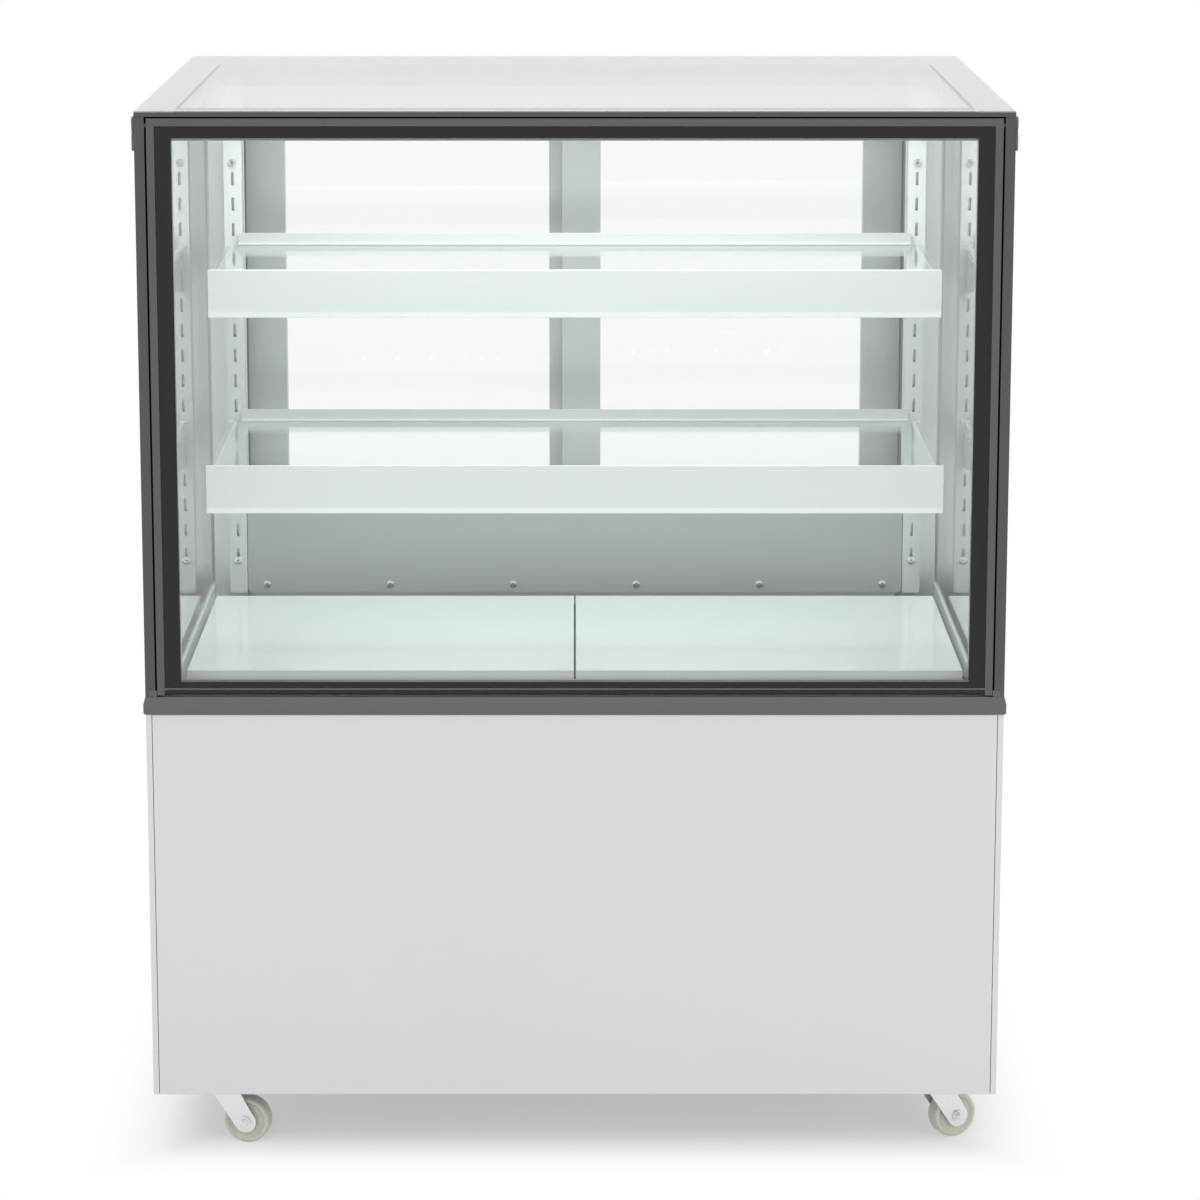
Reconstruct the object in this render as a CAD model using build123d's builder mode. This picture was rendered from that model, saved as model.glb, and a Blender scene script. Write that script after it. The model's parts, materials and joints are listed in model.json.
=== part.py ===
"""Refrigerated display case on four casters: a glazed display section over a sheet metal base.

The origin is on the floor under the centre of the case, +Z is up and the front faces -Y.
Every piece is written to its own file in parts, in the place that it has in the case.
"""

from build123d import *
import math
import os

# Overall sizes
case_width = 900.0  # across the base panels
case_depth = 660.0  # front panel face to rear panel face
caster_height = 71.0  # floor to the underside of the chassis
base_height = 418.0  # sheet metal base
trim_height = 19.0  # dark belt between the base and the glazed section
glazed_height = 614.0  # belt to the top of the glass

# Sheet metal of the base
panel_sheet = 1.2
panel_fold = 6.0  # depth of the folded edges of a panel
panel_seam = 0.5  # gap between neighbouring panels
chassis_sheet = 2.0
tray_rim = 30.0
post_width = 24.0
fascia_height = 109.0
trim_overhang = 2.5
trim_slope = 8.0  # height of the sloping upper part

# Louvres of the rear grille
louvre_rows = 13
louvre_pitch = 15.0
louvre_gap = 7.0
louvre_length = 340.0
louvre_column_pitch = 430.0
louvre_base_margin = 90.0
louvre_depth = 5.5

# Insulated well
well_height = 163.0
well_wall = 40.0
well_floor = 25.0
well_sill_height = 12.0
well_sill_depth = 8.0
electric_bay = 74.0  # space for the controls behind the well

# Side frames
frame_thickness = 34.0
frame_bottom_rail = 22.0
frame_top_rail = 30.0
frame_front_post = 30.0
frame_rear_post = 90.0
rear_post_width = 66.0
rear_post_wall = 2.5
front_lip = 10.5  # part of the side frame that is seen beside the front panel
glazing_cover = 10.0  # how far a frame covers the edge of its glass
glass_inner_lip = 2.0
edge_clearance = 1.0
side_pane = 5.0
side_cavity = 18.0
spacer_width = 9.0

# Top
top_pane = 4.0
top_plate = 2.0
top_cavity = 12.0
top_lip = 1.5  # sheet that stands in front of the glass
top_lip_drop = 1.1  # its edge below the top of the glass
top_rear_border = 102.0  # opaque part of the top behind the clear glass
unit_clearance = 0.5
lamp_drop = 12.7
lamp_depth = 33.5
lamp_flat = 17.5
lens_thickness = 3.0
lens_inset = 5.0
header_web = 1.5

# Front lift-up panel
front_panel_depth = 22.0
front_side_gap = 2.0
front_top_gap = 1.5
front_bottom_gap = 1.5
front_bar = 8.0
front_bar_lip = 1.0
front_bar_cover = 2.0
front_pane = 5.0
front_border = 18.8  # black border at the sides, behind the outer pane
front_top_border = 14.6
front_low_border = 13.7  # above the panel's lower edge
front_skirt = 1.5  # the border where it passes before the lower bar
gasket_space = 3.0
gasket_gap = 0.3
gasket_width = 16.0
pivot_inset = 4.5  # pivot axis behind the front face
pivot_drop = 7.5  # pivot axis below the panel's top edge
pivot_radius = 2.5
pivot_reach = 7.0  # length of the pin inside the panel's bar
running_clearance = 0.05
cap_depth = 17.0
cap_lobe = 13.0
cap_lobe_gap = 3.5
lower_lobe = 18.5

# Rear sliding doors
door_thickness = 22.0
door_track_gap = 6.0
door_track_margin = 10.0
door_side_clearance = 1.0
door_stile = 45.0
door_rail = 40.0
door_overlap = 60.0
door_pane = 6.0
door_glass_cover = 8.0
door_seat_gap = 0.3
sill_height = 21.0
sill_groove = 8.0
header_height = 56.0
header_groove = 24.0
header_engagement = 14.0
header_wall = 3.0
pull_length = 120.0
pull_width = 16.0
pull_depth = 8.0
pull_height = 300.0  # centre of the finger pull above the door's bottom edge

# Deck
deck_height = 21.0
deck_sheet = 1.2
deck_inset = 7.0
deck_front_gap = 10.0
deck_return_gap = 55.0  # air return between the deck and the riser
deck_joint = 2.0
cross_rail_depth = 25.0
cross_rail_height = 20.0
rail_sheet = 1.5

# Riser and air duct
riser_rear = 205.0  # riser's face from the rear face
riser_sheet = 1.2
riser_top = 122.0  # height of the riser's top above the belt
riser_foot = 13.0  # height of its lower edge above the belt
riser_side_gap = 1.0
riser_corner = 6.0
air_slot_length = 44.0
air_slot_width = 7.0
air_slot_pitch = 58.0
air_slot_rows = 4
air_slot_row_pitch = 16.0

# Slotted uprights, and the stanchions that carry them
upright_inset = 62.0  # centre from the side face
upright_width = 20.0
upright_depth = 9.0
upright_sheet = 1.5
upright_top = 537.0  # above the belt
upright_foot = 13.0
slot_first = 58.0  # centre of the lowest slot above the belt
slot_pitch = 29.0
slot_count = 16
slot_height = 14.7
slot_width = 3.2
stanchion_depth = 20.0
stanchion_wall = 2.0

# Shelves
shelf_glass = 6.0
shelf_end = 7.0  # shelf beyond the centre of each upright
shelf_rear_gap = 6.0
upper_shelf_slot = 12
lower_shelf_slot = 5
upper_shelf_front = 200.0  # depth from the front face to the rail
lower_shelf_front = 140.0
bracket_rise = 6.5  # bracket's top edge above the centre of its upper slot
bracket_sheet = 2.6
bracket_nose = 14.0
bracket_setback = 25.0
tongue_height = 10.0
hook_drop = 5.0
hook_thickness = 2.5
shelf_seat_gap = 0.3
rail_height = 52.0
rail_rise = 5.0  # rail above the top of the glass
rail_wall = 3.0
rail_lip = 1.7
rail_lower_lip = 11.0
rail_upper_lip = 6.0
rail_bead = 5.5
rail_bead_depth = 4.5
stop_rise = 13.0
stop_drop = 13.0
stop_wall = 2.0
stop_lip = 8.0
stop_end_gap = 5.0

# Casters
caster_inset_x = 67.0  # swivel axis from the side face
caster_inset_y = 62.0  # swivel axis from the front or rear face
plate_size = 56.0
plate_thickness = 3.0
race_radius = 20.0
race_height = 2.5
king_pin_radius = 4.0
king_pin_head = 7.0
king_pin_head_height = 3.4
crown_sheet = 2.5
swivel_gap = 0.3
wheel_radius = 25.0
wheel_width = 20.0
wheel_hub_radius = 10.0
wheel_hub_width = 21.8
wheel_tread_round = 4.0
wheel_dish = 2.5
fork_leg_gap = 22.4
fork_leg = 2.5
fork_eye = 12.0
axle_radius = 4.0
axle_head = 6.5
axle_head_height = 3.0
trail = 30.0
fork_directions = {
    "front_left": -12.0,
    "front_right": 25.0,
    "rear_left": 15.0,
    "rear_right": -10.0,
}

# Cooling set
compressor_radius = 70.0
compressor_height = 165.0
compressor_inset_x = 220.0  # axis from the left side face
compressor_inset_y = 200.0  # axis from the rear face
compressor_foot = 14.0
coil_fin = 1.2
coil_groove = 2.0
condenser_inset_x = 260.0  # centre from the right side face
condenser_width = 280.0
condenser_height = 220.0
condenser_depth = 44.0
condenser_fin_pitch = 12.0
condenser_rear_gap = 40.0
evaporator_side_gap = 84.0
evaporator_height = 100.0
evaporator_depth = 90.0
evaporator_riser_gap = 85.0
evaporator_fin_pitch = 20.0
coil_end_plate = 1.5
coil_tube = 5.0
coil_bend = 12.0
coil_bends = 3
fan_blades = 5
blade_sheet = 1.6
hub_share = 0.34  # hub radius for each unit of tip radius
blade_root_pitch = 42.0
blade_tip_pitch = 26.0
condenser_fan_radius = 88.0
evaporator_fan_radius = 46.0
evaporator_fan_x = 190.0
fan_tip_gap = 3.0
fan_collar = 2.0
fan_depth = 24.0
fan_standoff = 3.0
motor_share = 0.3
motor_length = 34.0
motor_shaft = 4.0
spider_bar = 9.0
spider_sheet = 2.0
plate_sheet = 1.5
pipe_radius = 4.0

# Controls in the rear fascia
control_z_drop = 52.0  # centre of the controls below the base's top edge
controller_inset_x = 200.0  # centre from the right side face
controller_width = 75.0
controller_height = 34.0
controller_cut_width = 71.0
controller_cut_height = 29.0
controller_body_depth = 45.0
bezel_proud = 1.8
display_depth = 1.0
display_width = 42.0
display_height = 18.0
switch_insets_x = (330.0, 285.0)
switch_width = 22.0
switch_height = 34.0
switch_cut_width = 19.0
switch_cut_height = 30.0
switch_body_depth = 28.0
switch_bezel_proud = 1.5
rocker_width = 15.4
rocker_half = 12.0
rocker_nose = 2.0
rocker_back = 3.0
rocker_tilt = 8.0
rocker_gap = 0.35
rocker_pin = 1.5
rocker_setback = 5.0
inlet_inset_x = 70.0  # centre from the left side face
inlet_z_rise = 48.0
inlet_width = 50.0
inlet_height = 24.0
inlet_cut_width = 29.0
inlet_cut_height = 22.0
inlet_depth = 25.0
inlet_wall = 2.0
blade_width = 2.0
blade_height = 4.0
blade_length = 14.0
blade_spacing = 14.0

# Levels and faces that several pieces share
right = case_width / 2
front = -case_depth / 2
rear = case_depth / 2
base_bottom = caster_height
base_top = base_bottom + base_height
belt_top = base_top + trim_height
case_top = belt_top + glazed_height
plate_top = case_top - top_pane
frame_top = plate_top - top_plate
chassis_x = right - panel_fold
chassis_y = rear - panel_fold
well_top = belt_top
well_bottom = well_top - well_height
well_rear = chassis_y - electric_bay
well_inner_x = chassis_x - well_wall
well_base = well_bottom + well_floor
frame_inner = right - frame_thickness
closing_plane = front + front_panel_depth + gasket_space
opening_bottom = belt_top + frame_bottom_rail
opening_top = frame_top - frame_top_rail
opening_front = closing_plane + frame_front_post
opening_rear = rear - frame_rear_post
post_inner = right - rear_post_width
riser_face = rear - riser_rear
upright_centre = right - upright_inset
upright_inner = upright_centre - upright_width / 2
upright_outer = upright_centre + upright_width / 2
stanchion_face = riser_face + upright_depth
shelf_length = 2 * (upright_centre + shelf_end)
deck_x = frame_inner - deck_inset
deck_front = closing_plane + deck_front_gap
deck_rear = riser_face - deck_return_gap
inlet_x = inlet_inset_x - right
controller_x = right - controller_inset_x
switch_x = tuple(right - inset for inset in switch_insets_x)


def bar(x_span, y_span, z_span, mode=Mode.ADD):
    """Add, or cut, a straight block between the limits that are given along each axis."""
    spans = [sorted(span) for span in (x_span, y_span, z_span)]
    with Locations(tuple((low + high) / 2 for low, high in spans)):
        Box(*(high - low for low, high in spans), mode=mode)


def facing_front(y):
    """A sketch plane at depth y that faces the front, with X to the right and Z up."""
    return Plane.XZ.offset(-y)


def write(name, *pieces):
    """Write one sub-part, made of one or more separate solids, to its own file."""
    solids = [solid for piece in pieces for solid in piece.solids()]
    part = solids[0] if len(solids) == 1 else Compound(solids)
    part.label = name
    export_step(part, f"parts/{name}.step")


def on_side(part, side):
    """The part as drawn on the right, or its mirror image on the left."""
    return part if side > 0 else part.mirror(Plane.YZ)


os.makedirs("parts", exist_ok=True)


# Chassis: a tray with a rim, corner posts and the ledges that carry the well and the sill
with BuildPart() as chassis:
    with BuildSketch(Plane.XY.offset(base_bottom)):
        Rectangle(2 * chassis_x, 2 * chassis_y)
    extrude(amount=tray_rim)
    with BuildSketch(Plane.XY.offset(base_bottom + chassis_sheet)):
        Rectangle(2 * (chassis_x - chassis_sheet), 2 * (chassis_y - chassis_sheet))
    extrude(amount=tray_rim, mode=Mode.SUBTRACT)
    with BuildSketch(Plane.XY.offset(base_bottom)):
        with GridLocations(2 * chassis_x - post_width, 2 * chassis_y - post_width, 2, 2):
            Rectangle(post_width, post_width)
        Rectangle(
            2 * (chassis_x - chassis_sheet), 2 * (chassis_y - chassis_sheet), mode=Mode.SUBTRACT
        )
    extrude(amount=well_bottom - base_bottom)
    with BuildSketch(Plane.XY.offset(well_bottom - post_width)):
        Rectangle(2 * chassis_x, 2 * chassis_y)
        Rectangle(
            2 * (chassis_x - chassis_sheet), 2 * (chassis_y - chassis_sheet), mode=Mode.SUBTRACT
        )
    extrude(amount=post_width)
    with BuildSketch(Plane.XY.offset(well_bottom - chassis_sheet)):
        Rectangle(2 * chassis_x, 2 * chassis_y)
        Rectangle(2 * (chassis_x - post_width), 2 * (chassis_y - post_width), mode=Mode.SUBTRACT)
    extrude(amount=chassis_sheet)
    for side in (-1, 1):
        post_edge = side * (chassis_x - post_width)
        post_face = side * (chassis_x - chassis_sheet)
        bar((side * chassis_x, post_face), (chassis_y - post_width, chassis_y), (well_bottom, belt_top))
        bar((side * chassis_x, post_edge), (chassis_y - chassis_sheet, chassis_y), (well_bottom, belt_top))
    bar((-chassis_x, chassis_x), (chassis_y - chassis_sheet, chassis_y), (belt_top - post_width, belt_top))
    bar((-chassis_x, chassis_x), (chassis_y - post_width, chassis_y), (belt_top - chassis_sheet, belt_top))
write("chassis", chassis.part)

# Front panel: a plain folded pan between the side panels
front_half = chassis_x - panel_seam
with BuildPart() as front_panel:
    bar((-front_half, front_half), (front, front + panel_fold), (base_bottom, base_top))
    bar(
        (-front_half + panel_sheet, front_half - panel_sheet),
        (front + panel_sheet, front + panel_fold),
        (base_bottom + panel_sheet, base_top - panel_sheet),
        mode=Mode.SUBTRACT,
    )
    fillet(front_panel.faces().sort_by(Axis.Y)[0].edges(), panel_sheet * 0.8)
write("front_panel", front_panel.part)

# Side panels: folded pans whose edges show at the front corners
with BuildPart() as side_panel:
    bar((right - panel_fold, right), (front, rear), (base_bottom, base_top))
    bar(
        (right - panel_fold, right - panel_sheet),
        (front + panel_sheet, rear - panel_sheet),
        (base_bottom + panel_sheet, base_top - panel_sheet),
        mode=Mode.SUBTRACT,
    )
    fillet(side_panel.faces().sort_by(Axis.X)[-1].edges(), panel_sheet * 0.8)
write("side_panel_right", side_panel.part)
write("side_panel_left", on_side(side_panel.part, -1))

# Rear grille: a folded pan with pressed louvres and the cut-out for the power inlet
fascia_bottom = base_top - fascia_height
grille_top = fascia_bottom - panel_seam
inlet_z = base_bottom + inlet_z_rise
with BuildPart() as rear_grille:
    bar((-front_half, front_half), (rear - panel_fold, rear), (base_bottom, grille_top))
    bar(
        (-front_half + panel_sheet, front_half - panel_sheet),
        (rear - panel_fold, rear - panel_sheet),
        (base_bottom + panel_sheet, grille_top - panel_sheet),
        mode=Mode.SUBTRACT,
    )
    with BuildSketch(facing_front(rear)) as inlet_hole:
        with Locations((inlet_x, inlet_z)):
            Rectangle(inlet_cut_width, inlet_cut_height)
    extrude(amount=panel_sheet, mode=Mode.SUBTRACT)
    for column in (-0.5, 0.5):
        column_x = column * louvre_column_pitch
        louvre_start = column_x - louvre_length / 2
        for row in range(louvre_rows):
            louvre_z = base_bottom + louvre_base_margin + row * louvre_pitch
            bar(
                (louvre_start, louvre_start + louvre_length),
                (rear - panel_sheet, rear),
                (louvre_z, louvre_z + louvre_gap),
                mode=Mode.SUBTRACT,
            )
            with BuildSketch(Plane.YZ.offset(louvre_start)):
                with BuildLine():
                    Polyline(
                        (rear, louvre_z - panel_sheet),
                        (rear, louvre_z),
                        (rear - louvre_depth, louvre_z + louvre_gap),
                        (rear - louvre_depth, louvre_z + louvre_gap - panel_sheet),
                        close=True,
                    )
                make_face()
            extrude(amount=louvre_length)
write("rear_grille", rear_grille.part)

# Rear fascia above the grille, with the cut-outs for the controller and two switches
control_z = base_top - control_z_drop
with BuildPart() as control_fascia:
    bar((-front_half, front_half), (rear - panel_fold, rear), (fascia_bottom, base_top))
    bar(
        (-front_half + panel_sheet, front_half - panel_sheet),
        (rear - panel_fold, rear - panel_sheet),
        (fascia_bottom + panel_sheet, base_top - panel_sheet),
        mode=Mode.SUBTRACT,
    )
    with BuildSketch(facing_front(rear)) as control_holes:
        with Locations((controller_x, control_z)):
            Rectangle(controller_cut_width, controller_cut_height)
        with Locations(*((x, control_z) for x in switch_x)):
            Rectangle(switch_cut_width, switch_cut_height)
    extrude(amount=panel_sheet, mode=Mode.SUBTRACT)
write("control_fascia", control_fascia.part)

# Belt trim: a rounded moulding all round, over the joint of base and glazed section
with BuildPart() as belt_trim:
    with BuildSketch(Plane.XY.offset(base_top)) as trim_outline:
        Rectangle(case_width + 2 * trim_overhang, case_depth + 2 * trim_overhang)
        fillet(trim_outline.vertices(), trim_overhang)
    extrude(amount=trim_height - trim_slope)
    trim_shoulder = belt_trim.faces().sort_by(Axis.Z)[-1]
    extrude(
        trim_shoulder,
        amount=trim_slope,
        taper=math.degrees(math.atan(0.9 * trim_overhang / trim_slope)),
    )
    bar((-chassis_x, chassis_x), (-chassis_y, chassis_y), (base_top, belt_top), mode=Mode.SUBTRACT)
    fillet(belt_trim.faces().sort_by(Axis.Z)[0].outer_wire().edges(), trim_overhang * 0.9)
write("belt_trim", belt_trim.part)

# Insulated well: the foamed tub that holds the evaporator, with a raised sill at the front
with BuildPart() as insulated_well:
    bar((-chassis_x, chassis_x), (-chassis_y, well_rear), (well_bottom, well_top))
    bar(
        (-well_inner_x, well_inner_x),
        (-chassis_y + well_wall, well_rear - well_wall),
        (well_base, well_top),
        mode=Mode.SUBTRACT,
    )
    bar(
        (-deck_x, deck_x),
        (closing_plane, closing_plane + well_sill_depth),
        (well_top, well_top + well_sill_height),
    )
write("insulated_well", insulated_well.part)


# Coils: a fin block between end plates, with return bends at one end
def coil(width, height, depth, fin_pitch, foot):
    """A finned coil on two end plates that reach down by foot, its lower front left corner at the origin."""
    groove = fin_pitch - coil_fin
    with BuildPart() as block:
        bar((0, width), (0, depth), (0, height))
        for fin in range(int(width / fin_pitch)):
            groove_start = coil_end_plate + fin * fin_pitch
            groove_end = min(groove_start + groove, width - coil_end_plate)
            for y_span in ((0, depth / 2 - coil_groove), (depth / 2 + coil_groove, depth)):
                bar((groove_start, groove_end), y_span, (0, height), mode=Mode.SUBTRACT)
        for end in (0, width - coil_end_plate):
            bar((end, end + coil_end_plate), (0, depth), (-foot, height))
        step = height / (coil_bends + 1)
        for bend in range(coil_bends):
            bend_z = step * (bend + 1)
            bend_axis = Axis((width, depth / 2, bend_z), (0, 0, 1))
            with BuildSketch(Plane((width, depth / 2 - coil_bend, bend_z), (0, 1, 0), (1, 0, 0))):
                Circle(coil_tube)
            revolve(axis=bend_axis, revolution_arc=180)
    return block.part


# Fans: one form of rotor and one form of seat serve the condenser and the evaporator
def fan_rotor(tip_radius, x, y, z):
    """A rotor with pitched blades on a hub, its shaft along Y and its centre at x, y, z."""
    hub_radius = tip_radius * hub_share
    chord_root = hub_radius * 0.9
    chord_tip = tip_radius * 0.45
    with BuildPart() as rotor:
        Cylinder(hub_radius, fan_depth)
        for blade in range(fan_blades):
            turn = 360 * blade / fan_blades
            outward = Vector(1, 0, 0).rotate(Axis.Z, turn)
            around = Vector(0, 1, 0).rotate(Axis.Z, turn)
            reach = Axis((0, 0, 0), outward)
            root = Plane(outward * hub_radius * 0.9, around.rotate(reach, blade_root_pitch), outward)
            with BuildSketch(root):
                Rectangle(chord_root, blade_sheet)
            tip = Plane(outward * tip_radius * 0.99, around.rotate(reach, blade_tip_pitch), outward)
            with BuildSketch(tip):
                Rectangle(chord_tip, blade_sheet)
            loft(ruled=True)
        Cylinder(motor_shaft + running_clearance, fan_depth, mode=Mode.SUBTRACT)
    return rotor.part.moved(Plane((x, y, z), (1, 0, 0), (0, -1, 0)).location)


def fan_seat(tip_radius, x, z, plate_y, side):
    """Cut the fan's opening in a plate and add its collar, motor and spider, on the side given along Y."""
    opening = tip_radius + fan_tip_gap
    spider_y = plate_y - side * (plate_sheet + spider_sheet)
    collar_y = plate_y + side * (fan_standoff + fan_depth)
    motor_end = spider_y - side * motor_length
    with BuildSketch(facing_front(plate_y)) as hole:
        with Locations((x, z)):
            Circle(opening)
    extrude(hole.sketch, amount=side * 3 * plate_sheet, both=True, mode=Mode.SUBTRACT)
    with BuildSketch(facing_front(plate_y)) as collar:
        with Locations((x, z)):
            Circle(opening + fan_collar)
            Circle(opening, mode=Mode.SUBTRACT)
    extrude(collar.sketch, amount=plate_y - collar_y)
    with BuildSketch(facing_front(spider_y)) as spider:
        with Locations(Location((x, z), 45), Location((x, z), 135)):
            Rectangle(2 * opening + 2 * spider_bar, spider_bar)
        with Locations((x, z)):
            Circle(tip_radius * motor_share)
    extrude(spider.sketch, amount=-side * spider_sheet)
    with BuildSketch(facing_front(spider_y)) as motor:
        with Locations((x, z)):
            Circle(tip_radius * motor_share)
    extrude(motor.sketch, amount=spider_y - motor_end)
    with BuildSketch(facing_front(motor_end)) as shaft:
        with Locations((x, z)):
            Circle(motor_shaft)
    extrude(shaft.sketch, amount=motor_end - collar_y)


# Condenser set on the chassis floor: coil, shroud with its fan, compressor and pipes
floor_z = base_bottom + chassis_sheet
compressor_x = compressor_inset_x - right
compressor_y = rear - compressor_inset_y
condenser_x = right - condenser_inset_x
condenser_rear = chassis_y - condenser_rear_gap
condenser_front = condenser_rear - condenser_depth
condenser_left = condenser_x - condenser_width / 2
condenser_z = floor_z + condenser_height / 2
condenser_coil = coil(condenser_width, condenser_height, condenser_depth, condenser_fin_pitch, 0)
write(
    "condenser_coil",
    condenser_coil.moved(Location((condenser_left, condenser_front, floor_z))),
)

shroud_rear = condenser_front - fan_standoff - fan_depth - fan_tip_gap
shroud_y = (shroud_rear - plate_sheet, condenser_front)
shroud_x = (condenser_left, condenser_left + condenser_width)
with BuildPart() as condenser_shroud:
    bar(shroud_x, shroud_y, (floor_z, floor_z + condenser_height))
    bar(
        (shroud_x[0] + plate_sheet, shroud_x[1] - plate_sheet),
        (shroud_rear, condenser_front),
        (floor_z + plate_sheet, floor_z + condenser_height - plate_sheet),
        mode=Mode.SUBTRACT,
    )
    fan_seat(condenser_fan_radius, condenser_x, condenser_z, shroud_rear, 1)
write("condenser_shroud", condenser_shroud.part)

condenser_fan_y = shroud_rear + fan_standoff + fan_depth / 2
write("condenser_fan", fan_rotor(condenser_fan_radius, condenser_x, condenser_fan_y, condenser_z))

shell_z = floor_z + compressor_foot
with BuildPart() as compressor:
    with BuildSketch(Plane.XZ) as pot:
        with BuildLine():
            Polyline(
                (0, shell_z),
                (compressor_radius * 0.75, shell_z),
                (compressor_radius, shell_z + compressor_radius * 0.3),
                (compressor_radius, shell_z + compressor_height - compressor_radius * 0.5),
                (compressor_radius * 0.62, shell_z + compressor_height - compressor_radius * 0.1),
                (0, shell_z + compressor_height),
                (0, shell_z),
            )
        make_face()
    revolve(axis=Axis.Z)
    with BuildSketch(Plane.XY.offset(shell_z)):
        RectangleRounded(2.6 * compressor_radius, 1.6 * compressor_radius, compressor_foot)
    extrude(amount=chassis_sheet)
    with BuildSketch(Plane.XY.offset(floor_z)):
        with GridLocations(2.2 * compressor_radius, 1.2 * compressor_radius, 2, 2):
            Circle(compressor_foot * 0.7)
    extrude(amount=compressor_foot)
write("compressor", compressor.part.moved(Location((compressor_x, compressor_y, 0))))

# Evaporator set in the well: coil, fan plate with two fans, and the rail under the deck plates
fan_plate_y = riser_face + riser_sheet
evaporator_y = riser_face - evaporator_riser_gap - evaporator_depth
evaporator_width = 2 * (well_inner_x - evaporator_side_gap)
evaporator_z = well_base + coil_bend
evaporator_coil = coil(
    evaporator_width, evaporator_height, evaporator_depth, evaporator_fin_pitch, coil_bend
)
write(
    "evaporator_coil",
    evaporator_coil.moved(Location((-evaporator_width / 2, evaporator_y, evaporator_z))),
)

fan_z = (well_base + well_top) / 2
riser_x = upright_inner - riser_side_gap
riser_low = belt_top + riser_foot
riser_high = belt_top + riser_top
duct_x = riser_x - riser_corner
duct_rear = well_rear - well_wall + riser_foot
air_slot_columns = int((2 * duct_x - riser_corner) // air_slot_pitch)
with BuildPart() as evaporator_fan_plate:
    bar(
        (-well_inner_x, well_inner_x),
        (fan_plate_y, fan_plate_y + plate_sheet),
        (well_base, well_top),
    )
    bar(
        (-duct_x + riser_sheet, duct_x - riser_sheet),
        (fan_plate_y, fan_plate_y + plate_sheet),
        (well_top, riser_low + 2 * riser_foot),
    )
    for side in (-1, 1):
        fan_seat(evaporator_fan_radius, side * evaporator_fan_x, fan_z, fan_plate_y, -1)
write("evaporator_fan_plate", evaporator_fan_plate.part)

evaporator_fan_y = fan_plate_y - fan_standoff - fan_depth / 2
for name, side in (("left", -1), ("right", 1)):
    rotor = fan_rotor(evaporator_fan_radius, side * evaporator_fan_x, evaporator_fan_y, fan_z)
    write(f"evaporator_fan_{name}", rotor)

with BuildPart() as deck_cross_rail:
    with BuildSketch(Plane.YZ.offset(-well_inner_x)):
        with BuildLine():
            Polyline(
                (deck_rear - cross_rail_depth, well_top - cross_rail_height),
                (deck_rear - cross_rail_depth, well_top),
                (deck_rear, well_top),
                (deck_rear, well_top - cross_rail_height),
                (deck_rear - rail_sheet, well_top - cross_rail_height),
                (deck_rear - rail_sheet, well_top - rail_sheet),
                (deck_rear - cross_rail_depth + rail_sheet, well_top - rail_sheet),
                (deck_rear - cross_rail_depth + rail_sheet, well_top - cross_rail_height),
                (deck_rear - cross_rail_depth, well_top - cross_rail_height),
            )
        make_face()
    extrude(amount=2 * well_inner_x)
write("deck_cross_rail", deck_cross_rail.part)


# Refrigerant pipes: copper tube bent between the compressor, the condenser and the well
def pipe(points, bend_radius):
    """A tube along straight runs that are joined by bends of one radius."""
    with BuildPart() as tube:
        with BuildLine() as path:
            FilletPolyline(*points, radius=bend_radius)
        with BuildSketch(Plane(path.line @ 0, z_dir=path.line % 0)):
            Circle(pipe_radius)
        sweep()
    return tube.part


dome_z = shell_z + compressor_height * 0.6
pipe_bend = 5 * pipe_radius
shell_right = compressor_x + compressor_radius
condenser_inlet_z = floor_z + condenser_height * 0.8
pipe_space = (shell_right + condenser_left) / 2
discharge_pipe = pipe(
    [
        (shell_right, compressor_y, dome_z),
        (pipe_space, compressor_y, dome_z),
        (pipe_space, condenser_front + condenser_depth / 2, dome_z),
        (pipe_space, condenser_front + condenser_depth / 2, condenser_inlet_z),
        (condenser_left, condenser_front + condenser_depth / 2, condenser_inlet_z),
    ],
    pipe_bend,
)
suction_pipe = pipe(
    [
        (compressor_x, compressor_y - compressor_radius, dome_z),
        (compressor_x, compressor_y - compressor_radius - 2.5 * pipe_bend, dome_z),
        (compressor_x, compressor_y - compressor_radius - 2.5 * pipe_bend, well_bottom),
    ],
    pipe_bend,
)
write("refrigerant_pipes", discharge_pipe, suction_pipe)

# Deck: two folded plates that rest on the rim of the well and on the cross rail
deck_top = belt_top + deck_height
with BuildPart() as deck_plate:
    bar((deck_joint / 2, deck_x), (deck_front, deck_rear), (belt_top, deck_top))
    bar(
        (deck_joint / 2 + deck_sheet, deck_x - deck_sheet),
        (deck_front + deck_sheet, deck_rear - deck_sheet),
        (belt_top, deck_top - deck_sheet),
        mode=Mode.SUBTRACT,
    )
    fillet(deck_plate.faces().sort_by(Axis.Z)[-1].edges(), deck_sheet * 0.8)
write("deck_plate_right", deck_plate.part.moved(Location((0, 0, shelf_seat_gap))))
write("deck_plate_left", on_side(deck_plate.part, -1).moved(Location((0, 0, shelf_seat_gap))))

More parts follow.
